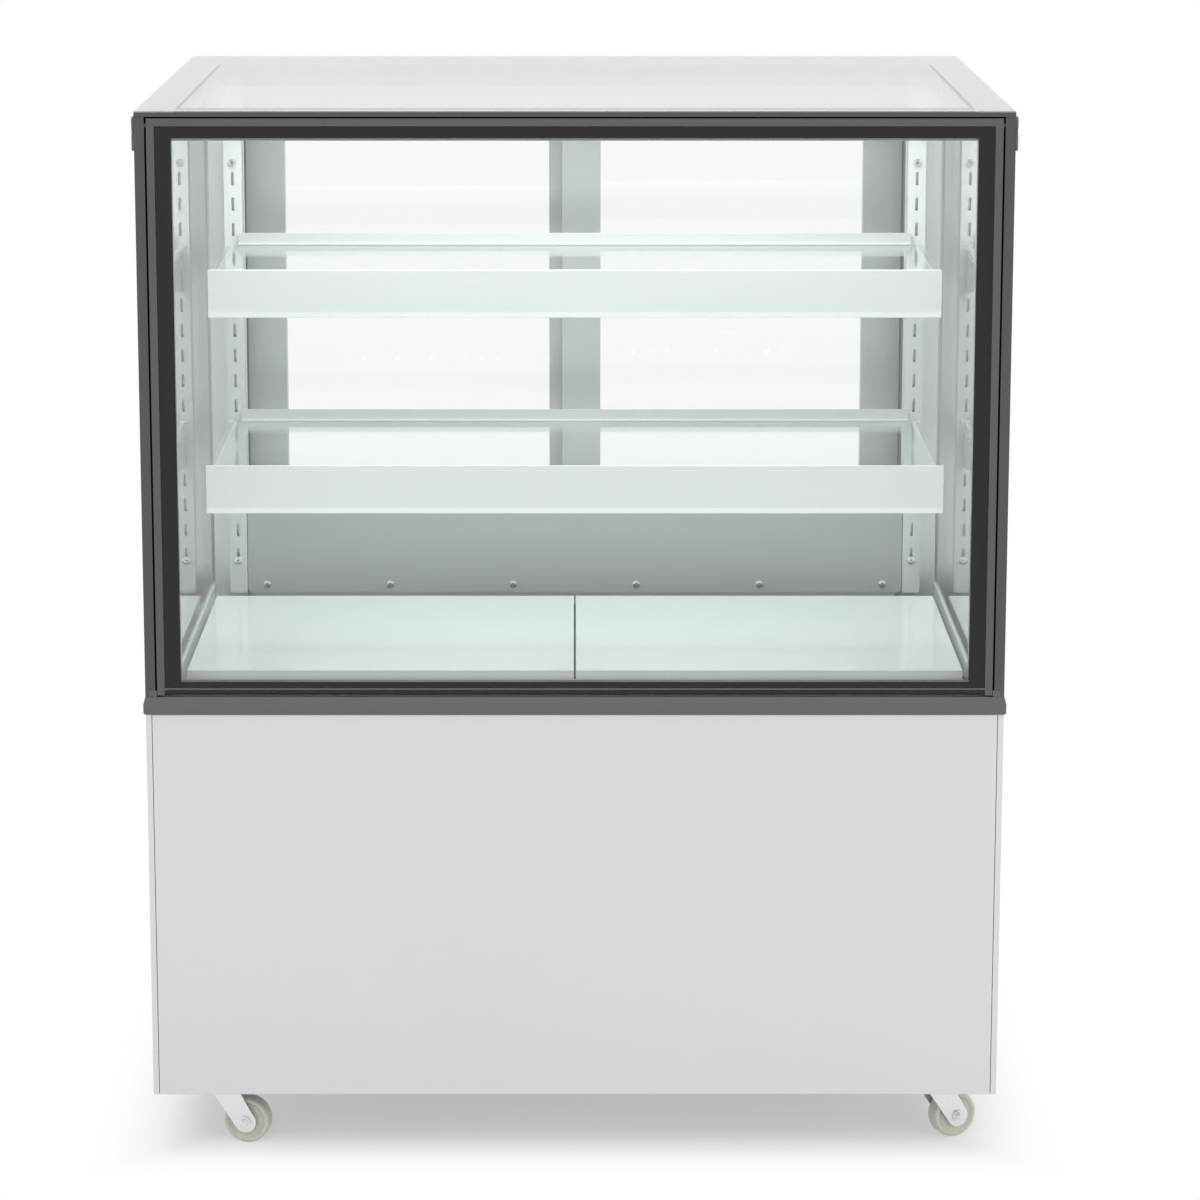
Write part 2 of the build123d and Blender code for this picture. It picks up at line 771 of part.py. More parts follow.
# Riser: a face with rounded lower corners on a duct cover with outlet slots on top
with BuildPart() as rear_riser:
    with BuildSketch(facing_front(riser_face)) as face:
        with Locations((0, (riser_low + riser_high) / 2)):
            Rectangle(2 * riser_x, riser_high - riser_low)
        fillet(face.vertices().group_by(Axis.Y)[0], riser_corner)
    extrude(amount=-riser_sheet)
    bar((-duct_x, duct_x), (riser_face + riser_sheet, duct_rear), (riser_low, riser_high))
    bar(
        (-duct_x + riser_sheet, duct_x - riser_sheet),
        (riser_face + riser_sheet, duct_rear - riser_sheet),
        (riser_low, riser_high - riser_sheet),
        mode=Mode.SUBTRACT,
    )
    bar((-duct_x, duct_x), (duct_rear - riser_sheet, duct_rear), (well_top, riser_low))
    with BuildSketch(Plane.XY.offset(riser_high)) as air_slots:
        with Locations((0, (riser_face + duct_rear) / 2)):
            with GridLocations(air_slot_pitch, air_slot_row_pitch, air_slot_columns, air_slot_rows):
                Rectangle(air_slot_length, air_slot_width)
    extrude(amount=-riser_sheet, mode=Mode.SUBTRACT)
write("rear_riser", rear_riser.part)


# Side frames: posts and rails around a glazing pocket, with the wide rear post of the doors
def side_frame():
    """The right side frame: posts, rails, glazing pocket, front lip and hollow rear post."""
    with BuildPart() as frame:
        bar((frame_inner, right), (closing_plane, rear), (belt_top, frame_top))
        bar((right - front_lip, right), (front, closing_plane), (belt_top, frame_top))
        bar((post_inner, frame_inner), (opening_rear, rear), (belt_top, frame_top))
        bar(
            (frame_inner, right),
            (opening_front, opening_rear),
            (opening_bottom, opening_top),
            mode=Mode.SUBTRACT,
        )
        bar(
            (frame_inner + glass_inner_lip, glass_outer),
            (opening_front - glazing_cover, opening_rear + glazing_cover),
            (opening_bottom - glazing_cover, opening_top + glazing_cover),
            mode=Mode.SUBTRACT,
        )
        bar(
            (post_inner + rear_post_wall, right - rear_post_wall),
            (opening_rear + glazing_cover + rear_post_wall, rear - rear_post_wall),
            (belt_top, frame_top),
            mode=Mode.SUBTRACT,
        )
        with BuildSketch(Plane.YZ.offset(right)) as pivot_hole:
            with Locations((pivot_y, pivot_z)):
                Circle(pivot_radius)
        extrude(amount=-front_lip, mode=Mode.SUBTRACT)
    return frame.part


glass_outer = frame_inner + glass_inner_lip + 2 * side_pane + side_cavity
front_top = frame_top - front_top_gap
pivot_y = front + pivot_inset
pivot_z = front_top - pivot_drop
right_frame = side_frame()
write("side_frame_right", right_frame)
write("side_frame_left", on_side(right_frame, -1))

# Side glazing: double units in the pockets of the side frames
pocket_y = (opening_front - glazing_cover + edge_clearance, opening_rear + glazing_cover - edge_clearance)
pocket_z = (opening_bottom - glazing_cover + edge_clearance, opening_top + glazing_cover - edge_clearance)
inner_glass = frame_inner + glass_inner_lip
with BuildPart() as side_panes:
    bar((inner_glass, inner_glass + side_pane), pocket_y, pocket_z)
    bar((glass_outer - side_pane, glass_outer), pocket_y, pocket_z)
    mirror(about=Plane.YZ)
write("side_panes", side_panes.part)

# Top: a plate and front web on the side frames, and a stepped glass unit laid on it
unit_x = frame_inner - unit_clearance
unit_front = closing_plane + header_web + unit_clearance
unit_rear = rear - top_rear_border
with BuildPart() as top_frame:
    bar((-right, right), (front, rear), (frame_top, plate_top))
    bar(
        (-unit_x - unit_clearance, unit_x + unit_clearance),
        (unit_front - unit_clearance, unit_rear + unit_clearance),
        (frame_top, plate_top),
        mode=Mode.SUBTRACT,
    )
    bar(
        (-frame_inner, frame_inner),
        (closing_plane, closing_plane + header_web),
        (frame_top - top_cavity - lamp_drop - 2 * unit_clearance, frame_top),
    )
    bar((-right, right), (front, front + top_lip), (plate_top, case_top - top_lip_drop))
write("top_frame", top_frame.part)

lower_pane_top = plate_top - top_cavity
with BuildPart() as top_panes:
    bar((-right, right), (front + top_lip, rear), (plate_top, case_top))
    bar((-unit_x, unit_x), (unit_front, unit_rear), (lower_pane_top - top_pane, lower_pane_top))
    fillet(top_panes.faces().sort_by(Axis.Z)[-1].edges(), top_pane * 0.3)
write("top_panes", top_panes.part)

# Spacers between the panes of the side units and of the top unit
with BuildPart() as side_spacers:
    spacer_face = inner_glass + side_pane
    bar((spacer_face, spacer_face + side_cavity), pocket_y, pocket_z)
    bar(
        (spacer_face, spacer_face + side_cavity),
        (pocket_y[0] + spacer_width, pocket_y[1] - spacer_width),
        (pocket_z[0] + spacer_width, pocket_z[1] - spacer_width),
        mode=Mode.SUBTRACT,
    )
    mirror(about=Plane.YZ)
with BuildPart() as top_spacer:
    bar((-unit_x, unit_x), (unit_front, unit_rear), (lower_pane_top, plate_top))
    bar(
        (-unit_x + spacer_width, unit_x - spacer_width),
        (unit_front + spacer_width, unit_rear - spacer_width),
        (lower_pane_top, plate_top),
        mode=Mode.SUBTRACT,
    )
write("glazing_spacers", side_spacers.part, top_spacer.part)

# Lamp under the front of the top: a channel with a slanted lens that lights the shelves
lamp_front = closing_plane + header_web
lamp_top = lower_pane_top - top_pane
lamp_bottom = lamp_top - lamp_drop
slope_start = Vector(lamp_front + lamp_flat, lamp_bottom)
slope_end = Vector(lamp_front + lamp_depth, lamp_top)
slope = (slope_end - slope_start).normalized()
into_lamp = Vector(-slope.Y, slope.X)
lens_corners = [
    slope_start + slope * lens_inset,
    slope_end - slope * lens_inset,
    slope_end - slope * lens_inset + into_lamp * lens_thickness,
    slope_start + slope * lens_inset + into_lamp * lens_thickness,
]
with BuildPart() as led_diffuser:
    with BuildSketch(Plane.YZ.offset(-unit_x)):
        with BuildLine():
            Polyline(*lens_corners, close=True)
        make_face()
    extrude(amount=2 * unit_x)
write("led_diffuser", led_diffuser.part)

with BuildPart() as led_housing:
    with BuildSketch(Plane.YZ.offset(-unit_x)):
        with BuildLine():
            Polyline(
                (lamp_front, lamp_bottom),
                (slope_start.X, slope_start.Y),
                (slope_end.X, slope_end.Y),
                (lamp_front, lamp_top),
                close=True,
            )
        make_face()
        with BuildLine():
            Polyline(*lens_corners, close=True)
        make_face(mode=Mode.SUBTRACT)
    extrude(amount=2 * unit_x)
write("led_housing", led_housing.part)

# Rear door tracks: the header and the sill, each with two grooves
track_y = opening_rear + door_track_margin + door_thickness / 2
track_step = door_thickness + door_track_gap
track_ys = (track_y, track_y + track_step)
groove_half = door_thickness / 2 + door_side_clearance
header_bottom = frame_top - header_height
with BuildPart() as door_header:
    bar((-post_inner, post_inner), (opening_rear, rear), (header_bottom, frame_top))
    for groove_y in track_ys:
        bar(
            (-post_inner, post_inner),
            (groove_y - groove_half, groove_y + groove_half),
            (header_bottom, header_bottom + header_groove),
            mode=Mode.SUBTRACT,
        )
    bar(
        (-post_inner, post_inner),
        (opening_rear + header_wall, rear - header_wall),
        (header_bottom + header_groove + header_wall, frame_top - header_wall),
        mode=Mode.SUBTRACT,
    )
write("door_header", door_header.part)

sill_top = belt_top + sill_height
with BuildPart() as door_sill:
    bar((-post_inner, post_inner), (opening_rear, rear), (belt_top, sill_top))
    for groove_y in track_ys:
        bar(
            (-post_inner, post_inner),
            (groove_y - groove_half, groove_y + groove_half),
            (sill_top - sill_groove, sill_top),
            mode=Mode.SUBTRACT,
        )
write("door_sill", door_sill.part)

# Rear doors: an aluminium frame around one pane, with a finger pull at the outer stile
door_bottom = sill_top - sill_groove + door_seat_gap
door_top = header_bottom + header_engagement
door_outer = post_inner - door_side_clearance
door_inner = -door_overlap / 2


def sliding_door(side, track):
    """Frame and pane of one door; side is 1 for the door that stands on the right."""
    centre_y = track_ys[track]
    y_span = (centre_y - door_thickness / 2, centre_y + door_thickness / 2)
    open_x = (door_inner + door_stile, door_outer - door_stile)
    open_z = (door_bottom + door_rail, door_top - door_rail)
    with BuildPart() as frame:
        bar((door_inner, door_outer), y_span, (door_bottom, door_top))
        bar(open_x, y_span, open_z, mode=Mode.SUBTRACT)
        bar(
            (open_x[0] - door_glass_cover, open_x[1] + door_glass_cover),
            (centre_y - door_pane / 2, centre_y + door_pane / 2),
            (open_z[0] - door_glass_cover, open_z[1] + door_glass_cover),
            mode=Mode.SUBTRACT,
        )
        with BuildSketch(facing_front(y_span[1])):
            with Locations((door_outer - door_stile / 2, door_bottom + pull_height)):
                SlotOverall(pull_length, pull_width, rotation=90)
        extrude(amount=pull_depth, mode=Mode.SUBTRACT)
    with BuildPart() as pane:
        bar(
            (open_x[0] - door_glass_cover + edge_clearance, open_x[1] + door_glass_cover - edge_clearance),
            (centre_y - door_pane / 2, centre_y + door_pane / 2),
            (open_z[0] - door_glass_cover + edge_clearance, open_z[1] + door_glass_cover - edge_clearance),
        )
    return on_side(frame.part, side), on_side(pane.part, side)


for name, side, track in (("left", -1, 0), ("right", 1, 1)):
    door_frame, door_glass = sliding_door(side, track)
    write(f"door_{name}_frame", door_frame)
    write(f"door_{name}_glass", door_glass)

# Front panel of glass: thin bars around a double unit whose outer pane and black border hide the lower bar
front_x = right - front_lip - front_side_gap
front_low = belt_top + front_bottom_gap
front_back = front + front_panel_depth
glass_x = front_x - front_bar + front_bar_cover
glass_low = front_low + front_bar - front_bar_cover
glass_high = front_top - front_bar + front_bar_cover
unit_face = front + front_bar_lip
unit_back = front_back - front_bar_lip
outer_low = front_low + front_bar_lip
skirt_back = unit_face + front_pane + front_skirt
with BuildPart() as front_frame:
    bar((-front_x, front_x), (front, front_back), (front_low, front_top))
    bar(
        (-front_x + front_bar, front_x - front_bar),
        (front, front_back),
        (front_low + front_bar, front_top - front_bar),
        mode=Mode.SUBTRACT,
    )
    bar((-glass_x, glass_x), (unit_face, unit_back), (glass_low, glass_high), mode=Mode.SUBTRACT)
    bar(
        (-front_x + front_bar, front_x - front_bar),
        (front, skirt_back),
        (front_low, glass_low),
        mode=Mode.SUBTRACT,
    )
    bar((-glass_x, glass_x), (unit_face, skirt_back), (outer_low, glass_low), mode=Mode.SUBTRACT)
    with BuildSketch(Plane.YZ.offset(front_x - pivot_reach)) as pivot_bore:
        with Locations((pivot_y, pivot_z)):
            Circle(pivot_radius + running_clearance)
    extrude(amount=pivot_reach, mode=Mode.SUBTRACT)
    mirror(about=Plane.YZ, mode=Mode.INTERSECT)
write("front_frame", front_frame.part)

with BuildPart() as front_panes:
    bar((-glass_x, glass_x), (unit_face, unit_face + front_pane), (outer_low, glass_high))
    bar((-glass_x, glass_x), (unit_back - front_pane, unit_back), (glass_low, glass_high))
write("front_panes", front_panes.part)

with BuildPart() as front_edge_seal:
    bar((-glass_x, glass_x), (unit_face + front_pane, unit_back - front_pane), (glass_low, glass_high))
    bar((-glass_x, glass_x), (unit_face + front_pane, skirt_back), (outer_low, glass_low))
    bar(
        (-glass_x + front_border, glass_x - front_border),
        (unit_face + front_pane, unit_back - front_pane),
        (front_low + front_low_border, glass_high - front_top_border),
        mode=Mode.SUBTRACT,
    )
write("front_edge_seal", front_edge_seal.part)

# Gasket that the front panel closes against, on the posts and the sill of the well
gasket_x = front_x - front_side_gap
gasket_low = front_low + front_side_gap
with BuildPart() as front_gasket:
    with BuildSketch(facing_front(closing_plane)):
        with BuildLine():
            Polyline(
                (-gasket_x, opening_top),
                (-gasket_x, gasket_low),
                (gasket_x, gasket_low),
                (gasket_x, opening_top),
                (gasket_x - gasket_width, opening_top),
                (gasket_x - gasket_width, well_top + well_sill_height),
                (-gasket_x + gasket_width, well_top + well_sill_height),
                (-gasket_x + gasket_width, opening_top),
                close=True,
            )
        make_face()
    extrude(amount=gasket_space - gasket_gap)
write("front_gasket", front_gasket.part)

# Pivot pins of the front panel, each with its cap on the side frame
with BuildPart() as hinge_caps:
    with BuildSketch(Plane.YZ.offset(right)):
        upper_lobe_z = frame_top - cap_lobe / 2
        lower_lobe_z = upper_lobe_z - cap_lobe / 2 - cap_lobe_gap - lower_lobe / 2
        with Locations((front + cap_depth / 2, upper_lobe_z)):
            RectangleRounded(cap_depth, cap_lobe, cap_lobe * 0.3)
        with Locations((front + cap_depth / 2, lower_lobe_z)):
            RectangleRounded(cap_depth, lower_lobe, cap_lobe * 0.3)
        with Locations((front + cap_depth / 2, (upper_lobe_z + lower_lobe_z) / 2)):
            Rectangle(cap_depth * 0.6, cap_lobe)
    extrude(amount=trim_overhang)
    with BuildSketch(Plane.YZ.offset(front_x - pivot_reach + edge_clearance)):
        with Locations((pivot_y, pivot_z)):
            Circle(pivot_radius)
    extrude(amount=right - front_x + pivot_reach - edge_clearance)
    mirror(about=Plane.YZ)
write("hinge_caps", hinge_caps.part)

# Stanchions behind the slotted uprights, from the rim of the well to the top
with BuildPart() as stanchions:
    bar(
        (upright_inner, frame_inner),
        (stanchion_face, stanchion_face + stanchion_depth),
        (belt_top, lower_pane_top - top_pane),
    )
    bar(
        (upright_inner + stanchion_wall, frame_inner - stanchion_wall),
        (stanchion_face + stanchion_wall, stanchion_face + stanchion_depth - stanchion_wall),
        (belt_top, lower_pane_top - top_pane),
        mode=Mode.SUBTRACT,
    )
    mirror(about=Plane.YZ)
write("stanchions", stanchions.part)

# Slotted uprights: channels with a column of slots that the shelf brackets hook into
first_slot_z = belt_top + slot_first
column_centre_z = first_slot_z + slot_pitch * (slot_count - 1) / 2
with BuildPart() as uprights:
    bar(
        (upright_inner, upright_outer),
        (riser_face, stanchion_face),
        (belt_top + upright_foot, belt_top + upright_top),
    )
    bar(
        (upright_inner + upright_sheet, upright_outer - upright_sheet),
        (riser_face + upright_sheet, stanchion_face),
        (belt_top + upright_foot, belt_top + upright_top),
        mode=Mode.SUBTRACT,
    )
    with BuildSketch(facing_front(riser_face)) as slot_column:
        with Locations((upright_centre, column_centre_z)):
            with GridLocations(slot_width, slot_pitch, 1, slot_count):
                Rectangle(slot_width, slot_height)
    extrude(amount=-upright_sheet, mode=Mode.SUBTRACT)
    mirror(about=Plane.YZ)
write("uprights", uprights.part)


# Shelf brackets: a tapered blade whose two tongues pass through the slots and hook down behind them
def slot_base(index):
    """Height of the lower edge of a slot, counted from the lowest."""
    return first_slot_z + index * slot_pitch - slot_height / 2


def bracket(slot, shelf_front):
    """A bracket on each upright, with its upper tongue in the given slot."""
    top = first_slot_z + slot * slot_pitch + bracket_rise
    tip_y = front + shelf_front + bracket_setback
    root_bottom = slot_base(slot - 1) - hook_drop
    hook_front = riser_face + upright_sheet
    with BuildPart() as blade:
        with BuildSketch(Plane.YZ.offset(upright_centre - bracket_sheet / 2)):
            with BuildLine():
                Polyline(
                    (riser_face, top),
                    (tip_y, top),
                    (tip_y, top - bracket_nose),
                    (riser_face - bracket_nose, root_bottom),
                    (riser_face, root_bottom),
                    close=True,
                )
            make_face()
            for index in (slot - 1, slot):
                base = slot_base(index)
                with BuildLine():
                    Polyline(
                        (riser_face, base),
                        (hook_front, base),
                        (hook_front, base - hook_drop),
                        (hook_front + hook_thickness, base - hook_drop),
                        (hook_front + hook_thickness, base + tongue_height),
                        (riser_face, base + tongue_height),
                        close=True,
                    )
                make_face()
        extrude(amount=bracket_sheet)
        mirror(about=Plane.YZ)
    return blade.part


write(
    "shelf_brackets",
    bracket(upper_shelf_slot, upper_shelf_front),
    bracket(lower_shelf_slot, lower_shelf_front),
)


# Shelves: a glass plate with a tall front rail and a low stop strip along its rear edge
def shelf(slot, shelf_front):
    """Glass and trim of a shelf that rests on the brackets of the given slot."""
    glass_z = first_slot_z + slot * slot_pitch + bracket_rise + shelf_seat_gap
    glass_top = glass_z + shelf_glass
    rail_y = front + shelf_front
    glass_front = rail_y + rail_wall + shelf_seat_gap
    glass_rear = riser_face - shelf_rear_gap
    rail_top = glass_top + rail_rise
    rail_low = rail_top - rail_height
    inside = rail_y + rail_wall
    with BuildPart() as glass:
        bar((-shelf_length / 2, shelf_length / 2), (glass_front, glass_rear), (glass_z, glass_top))
    with BuildPart() as rail:
        with BuildSketch(Plane.YZ.offset(-shelf_length / 2)):
            with BuildLine():
                Polyline(
                    (rail_y, rail_top),
                    (inside, rail_top),
                    (inside, glass_top + rail_lip),
                    (inside + rail_upper_lip, glass_top + rail_lip),
                    (inside + rail_upper_lip, glass_top),
                    (inside, glass_top),
                    (inside, glass_z),
                    (inside + rail_lower_lip, glass_z),
                    (inside + rail_lower_lip, glass_z - rail_lip),
                    (inside, glass_z - rail_lip),
                    (inside, rail_low + rail_bead),
                    (rail_y + rail_bead_depth, rail_low + rail_bead),
                    (rail_y + rail_bead_depth, rail_low),
                    (rail_y, rail_low),
                    close=True,
                )
            make_face()
        extrude(amount=shelf_length)
        fillet(rail.edges().filter_by(Axis.X).group_by(Axis.Z)[0], rail_wall * 0.5)
    stop_half = upright_centre - bracket_sheet / 2 - stop_end_gap
    stop_back = glass_rear + stop_wall
    with BuildPart() as stop:
        with BuildSketch(Plane.YZ.offset(-stop_half)):
            with BuildLine():
                Polyline(
                    (stop_back, glass_top + stop_rise),
                    (stop_back, glass_top - stop_drop),
                    (glass_rear, glass_top - stop_drop),
                    (glass_rear, glass_z - rail_lip),
                    (glass_rear - stop_lip, glass_z - rail_lip),
                    (glass_rear - stop_lip, glass_z),
                    (glass_rear, glass_z),
                    (glass_rear, glass_top),
                    (glass_rear - stop_lip, glass_top),
                    (glass_rear - stop_lip, glass_top + rail_lip),
                    (glass_rear, glass_top + rail_lip),
                    (glass_rear, glass_top + stop_rise),
                    close=True,
                )
            make_face()
        extrude(amount=2 * stop_half)
    return glass.part, rail.part, stop.part


for name, slot, shelf_front in (
    ("upper", upper_shelf_slot, upper_shelf_front),
    ("lower", lower_shelf_slot, lower_shelf_front),
):
    shelf_plate, front_rail, rear_stop = shelf(slot, shelf_front)
    write(f"{name}_shelf_glass", shelf_plate)
    write(f"{name}_shelf_trim", front_rail, rear_stop)

# Caster plates: a top plate, a race and a king pin with its head below the fork
caster_x = right - caster_inset_x
caster_y = rear - caster_inset_y
race_bottom = base_bottom - plate_thickness - race_height
crown_top = race_bottom - swivel_gap
crown_bottom = crown_top - crown_sheet
pin_head_top = crown_bottom - swivel_gap
with BuildPart() as caster_plates:
    with BuildSketch(Plane.XY.offset(base_bottom - plate_thickness)):
        with GridLocations(2 * caster_x, 2 * caster_y, 2, 2):
            RectangleRounded(plate_size, plate_size, plate_thickness)
    extrude(amount=plate_thickness)
    with BuildSketch(Plane.XY.offset(race_bottom)):
        with GridLocations(2 * caster_x, 2 * caster_y, 2, 2):
            Circle(race_radius)
    extrude(amount=race_height)
    with BuildSketch(Plane.XY.offset(pin_head_top)):
        with GridLocations(2 * caster_x, 2 * caster_y, 2, 2):
            Circle(king_pin_radius)
    extrude(amount=race_bottom - pin_head_top)
    with BuildSketch(Plane.XY.offset(pin_head_top - king_pin_head_height)):
        with GridLocations(2 * caster_x, 2 * caster_y, 2, 2):
            Circle(king_pin_head)
    extrude(amount=king_pin_head_height)
write("caster_plates", caster_plates.part)


# Forks and wheels: drawn with the swivel axis at the origin and the trail along +X
def caster_fork():
    """The fork with its crown and two tapered legs, and the axle bolt as a solid of its own."""
    leg_outer = fork_leg_gap / 2 + fork_leg
    with BuildPart() as fork:
        with BuildSketch(Plane.XY.offset(crown_bottom)):
            Circle(race_radius)
            Rectangle(race_radius, 2 * leg_outer, align=(Align.MIN, Align.CENTER))
            Circle(king_pin_radius + running_clearance, mode=Mode.SUBTRACT)
        extrude(amount=crown_sheet)
        for leg_y in (leg_outer, -fork_leg_gap / 2):
            with BuildSketch(facing_front(leg_y)) as leg:
                with Locations((trail, wheel_radius)):
                    Circle(fork_eye)
                with BuildLine():
                    Polyline(
                        (-race_radius * 0.6, crown_top),
                        (race_radius, crown_top),
                        (trail + fork_eye * 0.94, wheel_radius + fork_eye * 0.34),
                        (trail - fork_eye * 0.77, wheel_radius - fork_eye * 0.64),
                        close=True,
                    )
                make_face()
                with Locations((trail, wheel_radius)):
                    Circle(axle_radius, mode=Mode.SUBTRACT)
            extrude(amount=fork_leg)
    with BuildPart() as axle:
        with BuildSketch(facing_front(leg_outer)):
            with Locations((trail, wheel_radius)):
                Circle(axle_radius)
        extrude(amount=2 * leg_outer)
        for head_y in (leg_outer + axle_head_height, -leg_outer):
            with BuildSketch(facing_front(head_y)):
                with Locations((trail, wheel_radius)):
                    Circle(axle_head)
            extrude(amount=axle_head_height)
    return fork.part, axle.part


def caster_wheel():
    """A wheel with a rounded tread, a dished face on each side and a bored hub."""
    half = wheel_width / 2
    bore = axle_radius + running_clearance
    web = half - wheel_dish
    with BuildPart() as wheel:
        with BuildSketch(Plane.XY):
            with BuildLine():
                Polyline(
                    (bore, 0),
                    (bore, wheel_hub_width / 2),
                    (wheel_hub_radius * 0.8, wheel_hub_width / 2),
                    (wheel_hub_radius, web),
                    (wheel_radius - 2 * wheel_dish - wheel_tread_round / 2, web),
                    (wheel_radius - wheel_tread_round, half),
                )
                RadiusArc(
                    (wheel_radius - wheel_tread_round, half), (wheel_radius, half - wheel_tread_round),
                    wheel_tread_round,
                )
                Polyline((wheel_radius, half - wheel_tread_round), (wheel_radius, 0), (bore, 0))
            make_face()
            mirror(about=Plane.XZ)
        revolve(axis=Axis.Y)
    return wheel.part.moved(Location((trail, 0, wheel_radius)))


fork_shapes = caster_fork()
wheel_shape = caster_wheel()
for corner, direction in fork_directions.items():
    end, side = corner.split("_")
    x = caster_x if side == "right" else -caster_x
    y = caster_y if end == "rear" else -caster_y
    place = Location((x, y, 0), (0, 0, direction))
    write(f"caster_fork_{corner}", *(shape.moved(place) for shape in fork_shapes))
    write(f"caster_wheel_{corner}", wheel_shape.moved(place))

# Rear controls: the controller with its display window, the switch bases and the power inlet
rocker_y = rear + switch_bezel_proud - rocker_setback
rocker_tip = rocker_nose + rocker_half * math.tan(math.radians(rocker_tilt))
rocker_pocket = math.hypot(rocker_half, rocker_tip) + rocker_gap
with BuildPart() as controller:
    with BuildSketch(facing_front(rear)):
        with Locations((controller_x, control_z)):
            RectangleRounded(controller_width, controller_height, bezel_proud)
    extrude(amount=-bezel_proud)
    with BuildSketch(facing_front(rear)):
        with Locations((controller_x, control_z)):
            Rectangle(controller_cut_width, controller_cut_height)
    extrude(amount=controller_body_depth)
    with BuildSketch(facing_front(rear + bezel_proud)):
        with Locations((controller_x, control_z)):
            Rectangle(display_width, display_height)
    extrude(amount=display_depth, mode=Mode.SUBTRACT)
with BuildPart() as switch_bases:
    with BuildSketch(facing_front(rear)):
        with Locations(*((x, control_z) for x in switch_x)):
            RectangleRounded(switch_width, switch_height, switch_bezel_proud)
    extrude(amount=-switch_bezel_proud)
    with BuildSketch(facing_front(rear)):
        with Locations(*((x, control_z) for x in switch_x)):
            Rectangle(switch_cut_width, switch_cut_height)
    extrude(amount=switch_body_depth)
    with BuildSketch(facing_front(rear + switch_bezel_proud)):
        with Locations(*((x, control_z) for x in switch_x)):
            Rectangle(rocker_width + 2 * rocker_gap, 2 * rocker_pocket)
    extrude(amount=switch_bezel_proud + rocker_pocket, mode=Mode.SUBTRACT)
    for x in switch_x:
        with BuildSketch(Plane.YZ.offset(x - switch_cut_width / 2)):
            with Locations((rocker_y, control_z)):
                Circle(rocker_pin)
        extrude(amount=switch_cut_width)
write("rear_controls", controller.part, switch_bases.part)


def rocker(x):
    """A rocker at rest, tipped to its off side about the pin of its base."""
    tilt = math.radians(rocker_tilt)
    tipped = Plane(
        (x - rocker_width / 2, rocker_y, control_z), (0, math.cos(tilt), -math.sin(tilt)), (1, 0, 0)
    )
    with BuildPart() as body:
        with BuildSketch(tipped):
            with BuildLine():
                Polyline(
                    (rocker_nose, 0),
                    (rocker_tip, rocker_half),
                    (-rocker_back, rocker_half),
                    (-2 * rocker_back, rocker_half / 3),
                    (-2 * rocker_back, -rocker_half / 3),
                    (-rocker_back, -rocker_half),
                    (rocker_tip, -rocker_half),
                    close=True,
                )
            make_face()
            Circle(rocker_pin + running_clearance, mode=Mode.SUBTRACT)
        extrude(amount=rocker_width)
    return body.part


for name, x in zip(("power_switch", "light_switch"), switch_x):
    write(name, rocker(x))

with BuildPart() as power_inlet:
    with BuildSketch(facing_front(rear)):
        with Locations((inlet_x, inlet_z)):
            RectangleRounded(inlet_width, inlet_height, inlet_wall)
    extrude(amount=-switch_bezel_proud)
    with BuildSketch(facing_front(rear)):
        with Locations((inlet_x, inlet_z)):
            Rectangle(inlet_cut_width, inlet_cut_height)
    extrude(amount=inlet_depth)
    with BuildSketch(facing_front(rear + switch_bezel_proud)):
        with Locations((inlet_x, inlet_z)):
            Rectangle(inlet_cut_width - 2 * inlet_wall, inlet_cut_height - 2 * inlet_wall)
    extrude(amount=inlet_depth + switch_bezel_proud - inlet_wall, mode=Mode.SUBTRACT)
    with BuildSketch(facing_front(rear - inlet_depth + inlet_wall)):
        with Locations((inlet_x, inlet_z + blade_width)):
            Rectangle(blade_width, blade_height)
        with Locations((inlet_x, inlet_z - blade_width)):
            with GridLocations(blade_spacing, 1, 2, 1):
                Rectangle(blade_width, blade_height)
    extrude(amount=-blade_length)
write("power_inlet", power_inlet.part)
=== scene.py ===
"""Dresses the refrigerated display case: finishes, small hardware, lamps, floor and camera.

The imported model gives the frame, in metres: the origin is on the floor under the centre of the
case, +Z is up, the front faces -Y and +X is to the right.
"""

import json
import logging
import math
from dataclasses import dataclass
from enum import Enum

import bmesh
import bpy
from mathutils import Euler, Matrix, Vector


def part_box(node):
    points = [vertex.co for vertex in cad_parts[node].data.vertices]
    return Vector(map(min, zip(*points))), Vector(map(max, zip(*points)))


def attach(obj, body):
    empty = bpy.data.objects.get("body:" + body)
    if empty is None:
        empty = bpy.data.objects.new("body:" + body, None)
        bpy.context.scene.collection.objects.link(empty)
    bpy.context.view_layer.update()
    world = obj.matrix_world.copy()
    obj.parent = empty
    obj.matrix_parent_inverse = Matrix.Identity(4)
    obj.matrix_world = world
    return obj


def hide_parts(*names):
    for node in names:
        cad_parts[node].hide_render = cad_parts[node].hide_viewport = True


log = logging.getLogger("display_case")

Colour = tuple[float, float, float]
Point = tuple[float, float, float]

DARK_ANODISED: Colour = (0.11, 0.11, 0.115)
BLACK_MOULDING: Colour = (0.022, 0.022, 0.024)
MERGE_DISTANCE = 1e-6
FLAT_ANGLE = math.radians(0.5)
SMOOTH_ANGLE = math.radians(30.0)
HARD_ANGLE = math.radians(40.0)
MASK_EDGE = 0.0001
LINES_ALONG = 3.0
LINES_ACROSS = 1400.0
PROFILE_EDGE = 0.0006

# A pan head: shares of its radius and of its height at each ring, and its height and recess as
# shares of the radius.
SCREW_RINGS = ((1.0, 0.35), (0.9, 0.75), (0.62, 1.0))
SCREW_SIDES = 16
SCREW_HEIGHT = 0.55
SCREW_RIM = 0.1
RECESS_DEPTHS = (0.0, 0.55)
RECESS_WAIST = 0.16
RECESS_ARM = 0.36


class Axis(Enum):
    """The three directions of the row frame."""

    X = 0
    Y = 1
    Z = 2


